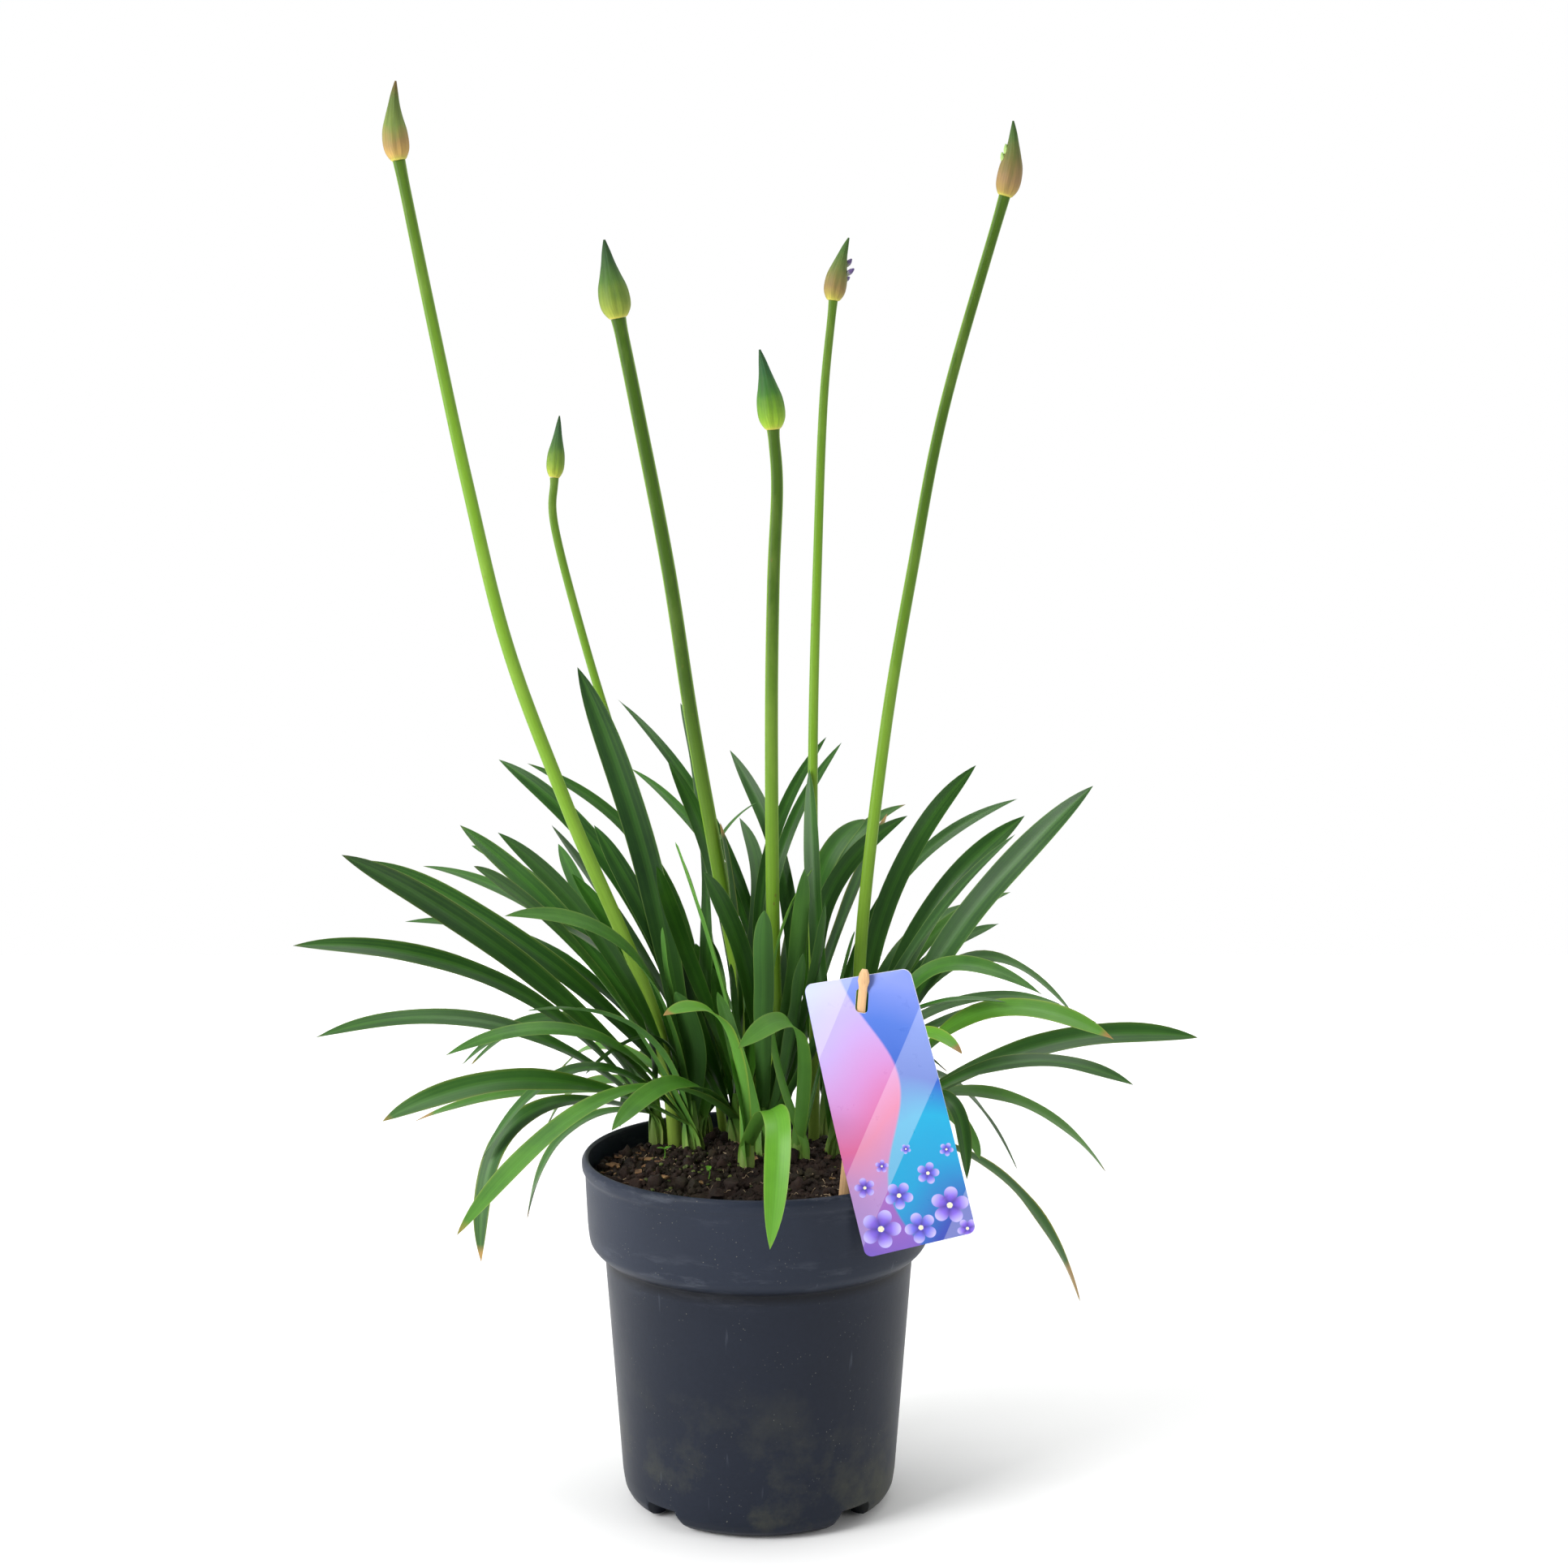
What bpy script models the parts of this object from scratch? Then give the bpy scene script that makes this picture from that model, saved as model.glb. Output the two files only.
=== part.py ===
"""A potted agapanthus in bud: a nursery pot full of soil, twelve leafy shoots, six flower stems
with closed buds, and a plant label held up by a flat bamboo stick.

Sizes are in millimetres and turned into metres where a mesh is made. The pot stands on Z = 0
with its axis on the Z axis, and the label is on the -Y side.
"""

import math
import random

import bmesh
import bpy
from mathutils import Matrix, Vector, noise
from mathutils.bvhtree import BVHTree

MM = 0.001
GAP = 0.4

# The pot: a 19 cm nursery pot. Profiles are (radius, height), read from the axis outwards.
SIDES = 36
RIM_HEIGHT = 190.0
POT_UNDERSIDE = [(0, 12.4), (56, 12.4), (57.5, 10), (57.5, 0), (62, 0)]
POT_OUTSIDE = [(66.5, 1.2), (70.5, 4.2), (72.8, 8.5), (74.0, 16), (82.9, 136.4), (86.2, 138.4),
               (89.0, 141.2), (90.7, 143.8), (91.4, 147.5), (92.0, 154), (93.2, 181)]
POT_LIP = [(94.8, 183.4), (95.0, 187.5), (93.2, RIM_HEIGHT), (91.4, 189.2)]
POT_INSIDE = [(91.0, 181), (89.8, 154), (89.2, 147.8), (88.6, 144.6), (87.3, 142.6),
              (84.9, 140.2), (80.8, 137.9), (72.0, 20), (70.0, 14), (0, 14)]
NOTCH_COUNT = 4
NOTCH_RADIUS, NOTCH_DEPTH, NOTCH_START = 68.0, 30.0, -2.0
NOTCH_WIDTH_LOW, NOTCH_WIDTH_HIGH, NOTCH_HEIGHT = 31.0, 20.0, 11.4

# The soil: filled to just under the rim, heaped a little round the shoots
SOIL_EDGE = 177.5
SOIL_HEAP = 10.5
SOIL_REACH = 90.0
# Height and two sizes of the lumps
SOIL_LUMP = 1.5
SOIL_LUMP_SIZES = (11.0, 6.0)
SOIL_RINGS = [82, 70, 56, 40, 22]

# The shoots: where each stands in the soil (x, y), and the sleeve of leaf bases they share
SHOOTS = {
    "a": (-36, 18), "b": (-32, 53), "c": (-6, -22), "d": (-13, 34), "e": (22, -5),
    "f": (41, 7), "g": (62, 0), "h": (13, 62), "i": (56, 48), "j": (-57, 42),
    "k": (2, 4), "l": (37, 68),
}
SLEEVE_SIZE = (6.6, 4.8)
SLEEVE_FOOT, SLEEVE_WAIST, SLEEVE_TOP = 160.0, 194.0, 214.0
LEAF_START = 201.0
LEAF_OFFSET = 3.0

# A leaf's path is read against an upright ruler at the pot's axis, as seen from this eye point
EYE = Vector((13.6, -1550.0, 605.0))
LEAF_THICKNESS = 1.3
LEAF_CHANNEL = 0.17
# Share of the full width at a leaf's foot, and how late it narrows to its tip
LEAF_FOOT_SHARE = 0.6
LEAF_TIP_POWER = 4.2
LEAF_STATIONS = 8
FREE_STATION = 2
SIDE_STEP = 6.0
SIDE_STEPS = 17
LEAF_CLEARANCE = 0.9
# No leaf reaches further than this before or behind the pot's axis
DEPTH_REACH = 168.0

# Each leaf: shoot, bend (across, height, depth), tip (across, height, depth), width, and its roll
# in degrees, which turns its upper face towards the eye
LEAVES = [
    ("c", (10, 206, -93), (6, 136, -113), 13.5, 20),
    ("d", (-92, 214, -95), (-163, 144, -168), 15.0, 0),
    ("a", (-101, 305, -20), (-151, 346, -66), 15.5, 38),
    ("g", (112, 189, -18), (174, 107, -46), 11.5, 0),
    ("j", (-145, 286, 18), (-248, 303, -14), 12.0, 48),
    ("g", (160, 251, 34), (235, 253, 44), 13.5, 43),
    ("i", (115, 323, 12), (177, 389, 4), 15.5, 70),
    ("a", (-68, 380, 48), (-95, 452, 46), 15.5, 70),
    ("a", (-157, 315, 0), (-221, 352, -36), 14.0, 66),
    ("a", (-132, 229, -22), (-202, 207, -62), 14.0, 40),
    ("j", (-145, 261, 34), (-237, 253, 22), 12.0, 33),
    ("k", (-28, 310, -22), (-44, 359, -40), 15.0, 40),
    ("k", (-10, 300, 8), (-29, 343, -6), 14.0, 60),
    ("c", (-27, 268, -64), (-51, 265, -100), 11.0, 28),
    ("e", (13, 262, -52), (-11, 247, -88), 12.0, 38),
    ("e", (12, 310, -4), (29, 345, -14), 9.5, 48),
    ("f", (29, 353, 34), (27, 398, 42), 10.5, 60),
    ("g", (125, 268, -12), (190, 252, -34), 13.0, 38),
    ("g", (153, 240, 2), (201, 227, -4), 11.0, 28),
    ("f", (137, 219, 18), (187, 179, 14), 10.5, 28),
    ("i", (101, 334, 48), (141, 373, 58), 13.0, 63),
    ("i", (79, 351, 76), (115, 400, 98), 11.5, 58),
    ("a", (-82, 310, -12), (-135, 319, -48), 12.5, 38),
    ("j", (-124, 211, 22), (-150, 129, 8), 12.0, 38),
    ("d", (-59, 222, -58), (-79, 202, -84), 11.0, 28),
    ("b", (-161, 327, 58), (-206, 349, 66), 12.5, 53),
    ("b", (-125, 339, 78), (-158, 368, 96), 12.0, 53),
    ("b", (-92, 364, 70), (-137, 403, 88), 11.5, 58),
    ("a", (-93, 255, 2), (-168, 243, -18), 10.5, 28),
    ("j", (-110, 263, 40), (-159, 238, 32), 9.5, 28),
    ("j", (-106, 264, 62), (-154, 238, 64), 8.5, 28),
    ("j", (-98, 205, 62), (-125, 153, 60), 11.0, 28),
    ("b", (-128, 223, 72), (-185, 207, 84), 8.5, 28),
    ("b", (-136, 310, 88), (-188, 316, 108), 8.5, 28),
    ("b", (-142, 336, 108), (-178, 346, 136), 8.0, 28),
    ("b", (-129, 345, 118), (-152, 357, 146), 8.5, 28),
    ("b", (-82, 377, 108), (-122, 401, 138), 8.5, 38),
    ("a", (-102, 330, 26), (-138, 364, 20), 11.5, 58),
    ("d", (-93, 330, 84), (-106, 358, 98), 9.5, 48),
    ("d", (-64, 328, 36), (-87, 368, 30), 11.5, 68),
    ("b", (-84, 322, 66), (-99, 342, 70), 10.0, 58),
    ("k", (-48, 326, 54), (-54, 346, 58), 10.0, 48),
    ("d", (-50, 292, 2), (-51, 313, -16), 10.5, 38),
    ("c", (-17, 262, -44), (-22, 278, -58), 9.5, 38),
    ("h", (17, 384, 88), (36, 415, 108), 7.0, 28),
    ("h", (23, 379, 78), (44, 412, 96), 7.0, 28),
    ("h", (-2, 385, 88), (-15, 408, 98), 9.5, 48),
    ("h", (-13, 371, 68), (-1, 380, 56), 12.5, 28),
    ("d", (-36, 380, 68), (-48, 403, 78), 10.5, 58),
    ("h", (-47, 405, 118), (-74, 435, 138), 7.0, 28),
    ("h", (-45, 380, 130), (-67, 398, 152), 6.0, 28),
    ("d", (-33, 401, 58), (-41, 433, 60), 10.5, 68),
    ("d", (-2, 350, 76), (-10, 372, 82), 10.5, 38),
    ("l", (45, 362, 84), (57, 371, 104), 11.5, 38),
    ("l", (84, 349, 116), (137, 382, 148), 8.0, 28),
    ("i", (45, 344, 56), (79, 373, 72), 10.5, 58),
    ("l", (58, 368, 136), (78, 379, 164), 7.5, 28),
    ("i", (98, 313, 58), (134, 332, 76), 8.5, 38),
    ("l", (102, 303, 98), (128, 315, 122), 8.0, 28),
    ("g", (98, 292, 16), (152, 276, 6), 10.5, 38),
    ("i", (121, 297, 68), (171, 262, 82), 9.5, 28),
    ("l", (132, 270, 98), (181, 261, 122), 7.5, 28),
    ("l", (118, 275, 128), (162, 271, 154), 7.5, 28),
    ("f", (97, 254, -28), (109, 244, -42), 8.5, 28),
    ("g", (103, 211, -12), (119, 186, -22), 9.5, 28),
    ("g", (103, 218, -36), (112, 175, -52), 8.5, 28),
    ("b", (-99, 224, 98), (-115, 200, 118), 9.5, 28),
    ("b", (-92, 247, 112), (-108, 232, 134), 7.5, 28),
]

# The leaves at the back and in the heart follow a rule: an even fan of headings, with a seed
BACK_SEED = 11
BACK_COUNT = 22
BACK_HEADINGS = (8.0, 172.0)
BACK_REACH = (104.0, 168.0)
BACK_TIP_HEIGHT = (172.0, 352.0)
BACK_LAYERS = 5
# Rise of the arch above a straight line, for the lowest and the highest layer
BACK_ARCH = (42.0, 12.0)
BACK_BEND = (0.58, 0.62)
BACK_WIDTH = (9.0, 14.0)
BACK_ROLL = 20.0
HEART_COUNT = 14
HEART_MIDDLE = (6.0, 34.0)
HEART_REACH = (30.0, 64.0)
HEART_TIP_HEIGHT = (262.0, 362.0)
HEART_WIDTH = (10.0, 13.0)

# The flower stems: points (across, height, depth) up the ruler, radius at the foot and the top
SCAPES = {
    "1": ([(-42, 150, 41), (-53, 255, 34), (-100, 375, 18), (-131, 461, 8), (-151, 546, 2),
           (-168, 630, 0), (-184, 713, 0)], 4.3, 2.9),
    "2": ([(-13, 150, 66), (-24, 235, 72), (-43, 303, 78), (-71, 397, 82), (-90, 461, 82),
           (-106, 525, 78), (-106, 551, 78)], 2.6, 2.2),
    "3": ([(3, 150, 52), (-5, 250, 48), (-18, 327, 44), (-34, 418, 38), (-47, 504, 32),
           (-63, 588, 28), (-72, 633, 26)], 4.3, 3.6),
    "4": ([(13, 150, 26), (11, 225, 22), (8, 301, 16), (7, 418, 8), (8, 495, 4),
           (10, 546, 2), (8, 576, 0)], 4.2, 3.0),
    "5": ([(29, 150, 36), (30, 250, 38), (29, 330, 42), (29, 420, 46), (31, 504, 50),
           (34, 588, 54), (39, 642, 56)], 3.2, 2.2),
    "6": ([(52, 150, 27), (53, 235, 26), (55, 310, 26), (67, 418, 24), (81, 504, 22),
           (97, 588, 20), (127, 695, 16)], 3.8, 2.7),
}
SCAPE_SIDES = 6
SCAPE_STATIONS = 11

# The buds: tip (across, height) on the ruler, and greatest radius
BUDS = {
    "1": ((-185, 753), 6.7), "2": ((-103, 583), 4.9), "3": ((-79, 673), 8.2),
    "4": ((1, 617), 7.2), "5": ((47, 674), 6.0), "6": ((131, 733), 6.5),
}
BUD_SIDES = 8
# Share of the length, share of the greatest radius
BUD_PROFILE = [(0.0, 0.52), (0.05, 0.75), (0.14, 0.95), (0.26, 1.0), (0.40, 0.92), (0.54, 0.70),
               (0.70, 0.46), (0.86, 0.27), (1.0, 0.07)]
# Florets that show through a split spathe: share up the bud, heading, outward lean, length
FLORETS = {
    "5": [(0.30, -10, 52, 9.0), (0.42, 20, 40, 8.5), (0.26, 40, 66, 7.5)],
    "6": [(0.30, 190, 22, 10.0), (0.42, 215, 14, 10.5)],
}
FLORET_RADIUS = 1.25

# The label card, its slot and the bamboo stick
CARD_SIZE = (58.0, 142.0, 0.8)
CARD_CORNER = 4.0
CARD_MIDDLE = Vector((67.0, -82.4, 232.5))
CARD_TILT = -13.6
CARD_BOW_LENGTH, CARD_BOW = 42.0, 0.0046
CARD_TURN = -20.0
CARD_CUTS = 11
SLOT_SIZE = (6.6, 12.0)
SLOT_DROP = 12.0
SLOT_LEAN = 18.0
STICK_FOOT = Vector((42.0, -58.0, 150.0))
STICK_HEAD = Vector((54.4, -80.5, 306.5))
STICK_TURN = -17.0
# Share of the stick's length, width, thickness
STICK_FORM = [(0.0, 3.0, 1.6), (0.06, 5.8, 2.0), (0.83, 5.8, 2.0), (0.85, 4.4, 1.5),
              (0.94, 4.4, 1.5), (0.96, 6.0, 1.8), (0.985, 5.0, 1.8), (1.0, 2.8, 1.4)]
# The stick's slit in the soil: half its diagonal, how flat it is, and its length
SLIT_RADIUS, SLIT_FLAT, SLIT_LENGTH = 4.6, 0.6, 70.0


def material(name, colour, roughness):
    """A plain Principled material in the piece's own colour."""
    made = bpy.data.materials.new(name)
    made.use_nodes = True
    shader = made.node_tree.nodes["Principled BSDF"]
    shader.inputs["Base Color"].default_value = (*colour, 1.0)
    shader.inputs["Roughness"].default_value = roughness
    shader.inputs["Metallic"].default_value = 0.0
    return made


def finish(name, bm, surface, smooth=40):
    """Close a bmesh in millimetres into a named object in metres."""
    bmesh.ops.remove_doubles(bm, verts=bm.verts, dist=0.0001)
    bmesh.ops.recalc_face_normals(bm, faces=bm.faces)
    bmesh.ops.scale(bm, vec=(MM, MM, MM), verts=bm.verts)
    mesh = bpy.data.meshes.new(name)
    bm.to_mesh(mesh)
    bm.free()
    mesh.materials.append(surface)
    mesh.shade_smooth()
    mesh.set_sharp_from_angle(angle=math.radians(smooth))
    made = bpy.data.objects.new(name, mesh)
    bpy.context.scene.collection.objects.link(made)
    return made


def combine(target, others, operation, solver="EXACT"):
    """Join or cut with a collection of objects in one Boolean, applied, and remove them."""
    group = bpy.data.collections.new(target.name + "_pieces")
    bpy.context.scene.collection.children.link(group)
    for other in others:
        bpy.context.scene.collection.objects.unlink(other)
        group.objects.link(other)
    cut = target.modifiers.new("combine", "BOOLEAN")
    cut.operand_type = "COLLECTION"
    cut.collection = group
    cut.operation = operation
    cut.solver = solver
    bpy.context.view_layer.update()
    graph = bpy.context.evaluated_depsgraph_get()
    result = bpy.data.meshes.new_from_object(target.evaluated_get(graph))
    target.modifiers.remove(cut)
    target.data = result
    for other in others:
        bpy.data.objects.remove(other)
    bpy.data.collections.remove(group)


def keep_main_body(made):
    """Fill what a union seals inside a solid, by keeping only its largest shell."""
    bm = bmesh.new()
    bm.from_mesh(made.data)
    unseen = set(bm.verts)
    shells = []
    while unseen:
        shell, front = set(), [unseen.pop()]
        while front:
            vert = front.pop()
            shell.add(vert)
            for edge in vert.link_edges:
                other = edge.other_vert(vert)
                if other in unseen:
                    unseen.remove(other)
                    front.append(other)
        shells.append(shell)
    shells.sort(key=len)
    inner = [vert for shell in shells[:-1] for vert in shell]
    bmesh.ops.delete(bm, geom=inner, context="VERTS")
    bm.to_mesh(made.data)
    bm.free()


def turned(profile):
    """Spin a profile of (radius, height) about the Z axis into a closed bmesh."""
    bm = bmesh.new()
    verts = [bm.verts.new((radius, 0, height)) for radius, height in profile]
    edges = [bm.edges.new(pair) for pair in zip(verts, verts[1:])]
    bmesh.ops.spin(bm, geom=verts + edges, cent=(0, 0, 0), axis=(0, 0, 1),
                   angle=math.tau, steps=SIDES, use_merge=True)
    bmesh.ops.remove_doubles(bm, verts=bm.verts, dist=0.001)
    return bm


def make_pot(surface):
    """The pot's shell, with four notches through its foot ring."""
    pot = finish("pot", turned(POT_UNDERSIDE + POT_OUTSIDE + POT_LIP + POT_INSIDE), surface)
    notches = []
    for number in range(NOTCH_COUNT):
        bm = bmesh.new()
        bmesh.ops.create_cube(bm, size=1.0)
        for vert in bm.verts:
            high = vert.co.z > 0
            width = NOTCH_WIDTH_HIGH if high else NOTCH_WIDTH_LOW
            height = NOTCH_HEIGHT if high else NOTCH_START
            vert.co = (NOTCH_RADIUS + NOTCH_DEPTH * vert.co.x, width * vert.co.y, height)
        heading = math.radians(45 + 360 / NOTCH_COUNT * number)
        bmesh.ops.rotate(bm, verts=bm.verts, matrix=Matrix.Rotation(heading, 3, "Z"))
        notches.append(finish(f"notch_{number}", bm, surface))
    combine(pot, notches, "DIFFERENCE")
    return pot


def soil_height(x, y):
    """The soil's own surface: a low heap with lumps."""
    share = min(1.0, math.hypot(x, y) / SOIL_REACH)
    coarse, fine = SOIL_LUMP_SIZES
    lump = noise.noise(Vector((x, y, 0)) / coarse) + 0.6 * noise.noise(Vector((y, x, 40)) / fine)
    return SOIL_EDGE + SOIL_HEAP * (1 - share ** 2) + SOIL_LUMP * lump * (1 - share ** 8)


def make_soil(surface, cutters):
    """The soil's plug, a gap inside the pot's wall, with a plain hole for whatever stands in it."""
    side = []
    for radius, height in POT_INSIDE[1:-1]:
        side.insert(0, (radius - GAP, height + GAP * 0.5))
    (low_radius, low), (high_radius, high) = POT_INSIDE[1], POT_INSIDE[0]
    rise = (SOIL_EDGE - low) / (high - low)
    edge_radius = low_radius + (high_radius - low_radius) * rise - GAP
    profile = [(0, 14 + GAP), (70 - GAP * 1.5, 14 + GAP)] + side[1:]
    profile += [(edge_radius, SOIL_EDGE)] + [(ring, SOIL_EDGE + 1) for ring in SOIL_RINGS]
    bm = turned(profile + [(0, SOIL_EDGE + 1)])
    for vert in bm.verts:
        if vert.co.z > SOIL_EDGE + 0.5:
            vert.co.z = soil_height(vert.co.x, vert.co.y)
    soil = finish("soil", bm, surface)
    combine(soil, cutters, "DIFFERENCE")
    return soil


def tube(points, radii, sides, flat=1.0, start=None):
    """Sections round a path, with flat ends; flat squeezes each section along its second axis."""
    bm = bmesh.new()
    rings = []
    reference = start or Vector((1, 0, 0))
    for index, (point, radius) in enumerate(zip(points, radii)):
        ahead = points[min(index + 1, len(points) - 1)] - points[max(index - 1, 0)]
        ahead.normalize()
        across = (reference - ahead * reference.dot(ahead)).normalized()
        other = ahead.cross(across)
        ring = []
        for side in range(sides):
            angle = math.tau * side / sides
            offset = across * math.cos(angle) + other * math.sin(angle) * flat
            ring.append(bm.verts.new(point + offset * radius))
        rings.append(ring)
    for lower, upper in zip(rings, rings[1:]):
        for side in range(sides):
            after = (side + 1) % sides
            bm.faces.new((lower[side], lower[after], upper[after], upper[side]))
    bm.faces.new(reversed(rings[0]))
    bm.faces.new(rings[-1])
    return bm


def sight(across, height, depth):
    """A place read on the ruler at the pot's axis, carried along the line of sight to its depth."""
    reach = 1 + depth / -EYE.y
    return Vector((EYE.x + (across - EYE.x) * reach, depth, EYE.z + (height - EYE.z) * reach))


def smooth_path(points, stations):
    """Even stations along a Catmull-Rom curve through the points."""
    ends = [points[0] * 2 - points[1]] + points + [points[-1] * 2 - points[-2]]
    path = []
    for station in range(stations + 1):
        along = station / stations * (len(points) - 1)
        piece = min(int(along), len(points) - 2)
        t = along - piece
        p0, p1, p2, p3 = ends[piece:piece + 4]
        bend = (p1 * 2 + (p2 - p0) * t + (p0 * 2 - p1 * 5 + p2 * 4 - p3) * t ** 2
                + (p1 * 3 - p0 - p2 * 3 + p3) * t ** 3)
        path.append(bend * 0.5)
    return path


def scape_path(name):
    """A flower stem's stations, with its radius at each."""
    points, foot_radius, top_radius = SCAPES[name]
    path = smooth_path([sight(*point) for point in points], SCAPE_STATIONS)
    radii = []
    for station in range(SCAPE_STATIONS + 1):
        share = station / SCAPE_STATIONS
        radii.append(foot_radius + (top_radius - foot_radius) * share ** 0.8)
    radii[-1] *= 1.12
    return path, radii


def make_scape(name, surface):
    """A flower stem, from its root in the soil to the bud's foot."""
    path, radii = scape_path(name)
    return finish(f"scape_{name}", tube(path, radii, SCAPE_SIDES), surface, smooth=80)


def make_bud(name, surface):
    """A closed spathe on its stem's top, with any florets that show through its split."""
    path, radii = scape_path(name)
    out = (path[-1] - path[-2]).normalized()
    foot = path[-1] + out * GAP * 0.8
    tip_place, belly = BUDS[name]
    tip = sight(*tip_place, SCAPES[name][0][-1][2])
    length = (tip - foot).length
    knee = foot + out * length * 0.5
    centre, widths = [], []
    for share, width in BUD_PROFILE:
        centre.append(foot.lerp(knee, share).lerp(knee.lerp(tip, share), share))
        widths.append(belly * width)
    widths[0] = max(widths[0], radii[-1] * 1.1)
    body = tube(centre, widths, BUD_SIDES)
    for end_vert in list(body.verts)[:BUD_SIDES]:
        end_vert.co -= out * (end_vert.co - foot).dot(out)
    bud = finish(f"bud_{name}", body, surface, smooth=70)
    florets = []
    for number, (share, heading, lean, size) in enumerate(FLORETS.get(name, [])):
        start = foot.lerp(tip, share)
        turn = math.radians(heading)
        outward = Vector((math.cos(turn), math.sin(turn), 0)) * math.sin(math.radians(lean))
        direction = outward + Vector((0, 0, math.cos(math.radians(lean))))
        start = start + direction * belly * 0.35
        shares = (0, 0.45, 0.8, 1.0)
        points = [start + direction * size * share for share in shares]
        widths = [FLORET_RADIUS * width for width in (0.6, 1.0, 0.9, 0.35)]
        florets.append(finish(f"floret_{number}", tube(points, widths, 6), surface))
    if florets:
        combine(bud, florets, "UNION", "MANIFOLD")
        keep_main_body(bud)
    return bud


def make_card(surface):
    """The label card: a thin rounded sheet with a slot, turned and bowed back at its top."""
    width, height, thickness = CARD_SIZE
    bm = bmesh.new()
    bmesh.ops.create_cube(bm, size=1.0)
    bmesh.ops.scale(bm, vec=(width, thickness, height), verts=bm.verts)
    corners = [edge for edge in bm.edges
               if abs(edge.verts[0].co.y - edge.verts[1].co.y) > thickness / 2]
    bmesh.ops.bevel(bm, geom=corners, offset=CARD_CORNER, segments=3, profile=0.5,
                    affect="EDGES", material=-1)
    card = finish("label_card", bm, surface)
    slot = bmesh.new()
    bmesh.ops.create_cube(slot, size=1.0)
    bmesh.ops.scale(slot, vec=(SLOT_SIZE[0], 10, SLOT_SIZE[1]), verts=slot.verts)
    lean = Matrix.Rotation(math.radians(SLOT_LEAN), 3, "Y")
    bmesh.ops.rotate(slot, verts=slot.verts, matrix=lean)
    bmesh.ops.translate(slot, vec=(0, 0, height / 2 - SLOT_DROP), verts=slot.verts)
    combine(card, [finish("slot", slot, surface)], "DIFFERENCE")
    bm = bmesh.new()
    bm.from_mesh(card.data)
    bmesh.ops.scale(bm, vec=(1 / MM,) * 3, verts=bm.verts)
    for number in range(1, CARD_CUTS):
        level = height * (number / CARD_CUTS - 0.5)
        bmesh.ops.bisect_plane(bm, geom=bm.verts[:] + bm.edges[:] + bm.faces[:],
                               plane_co=(0, 0, level), plane_no=(0, 0, 1))
    tilt = Matrix.Rotation(math.radians(CARD_TILT), 3, "Y")
    for vert in bm.verts:
        drop = height / 2 - vert.co.z
        share = max(0.0, 1 - drop / (height * 0.7))
        turn = math.radians(CARD_TURN) * share
        bow = CARD_BOW * max(0.0, CARD_BOW_LENGTH - drop) ** 2
        across, out = vert.co.x, vert.co.y
        vert.co.x = across * math.cos(turn) - out * math.sin(turn)
        vert.co.y = across * math.sin(turn) + out * math.cos(turn) + bow
        vert.co = tilt @ vert.co + CARD_MIDDLE
    bmesh.ops.triangulate(bm, faces=bm.faces)
    bmesh.ops.scale(bm, vec=(MM,) * 3, verts=bm.verts)
    bm.to_mesh(card.data)
    bm.free()
    return card


def stick_across():
    """The direction of the stick's width, square to its length and turned with the card's top."""
    along = (STICK_HEAD - STICK_FOOT).normalized()
    turn = math.radians(STICK_TURN)
    level = Vector((math.cos(turn), math.sin(turn), 0))
    return (level - along * level.dot(along)).normalized()


def make_stick(surface):
    """The flat bamboo stick, from the soil to its head in front of the card's slot."""
    bm = bmesh.new()
    along = STICK_HEAD - STICK_FOOT
    across = stick_across()
    out = along.cross(across).normalized()
    rings = []
    for share, width, thickness in STICK_FORM:
        centre = STICK_FOOT + along * share
        corners = ((-1, -1), (1, -1), (1, 1), (-1, 1))
        rings.append([bm.verts.new(centre + across * width / 2 * x + out * thickness / 2 * y)
                      for x, y in corners])
    for lower, upper in zip(rings, rings[1:]):
        for side in range(4):
            after = (side + 1) % 4
            bm.faces.new((lower[side], lower[after], upper[after], upper[side]))
    bm.faces.new(reversed(rings[0]))
    bm.faces.new(rings[-1])
    return finish("label_stick", bm, surface)


def sleeve(name, gap=0.0, foot=SLEEVE_FOOT):
    """The clasping leaf bases at a shoot's foot: an oval stem, upright in its hole."""
    x, y = SHOOTS[name]
    wide, deep = SLEEVE_SIZE
    heights = (foot, SLEEVE_WAIST, SLEEVE_TOP)
    points = [Vector((x, y, height)) for height in heights]
    radii = (wide + gap, wide + gap, (wide + gap) * 0.72)
    return tube(points, radii, 8, flat=(deep + gap) / (wide + gap))


def leaf_root(name, tip):
    """Where a leaf leaves its shoot's sleeve: a little to the side that it heads for."""
    foot = Vector((*SHOOTS[name], LEAF_START))
    run = Vector((tip.x - foot.x, tip.y - foot.y, 0)).normalized()
    return foot + run * LEAF_OFFSET


def leaf_curve(root, bend, tip):
    """A quadratic curve's control point, so that it passes the bend on its way to the tip."""
    first, second = (bend - root).length, (tip - bend).length
    t = first / (first + second)
    return (bend - root * (1 - t) ** 2 - tip * t ** 2) / (2 * t * (1 - t))


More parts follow.
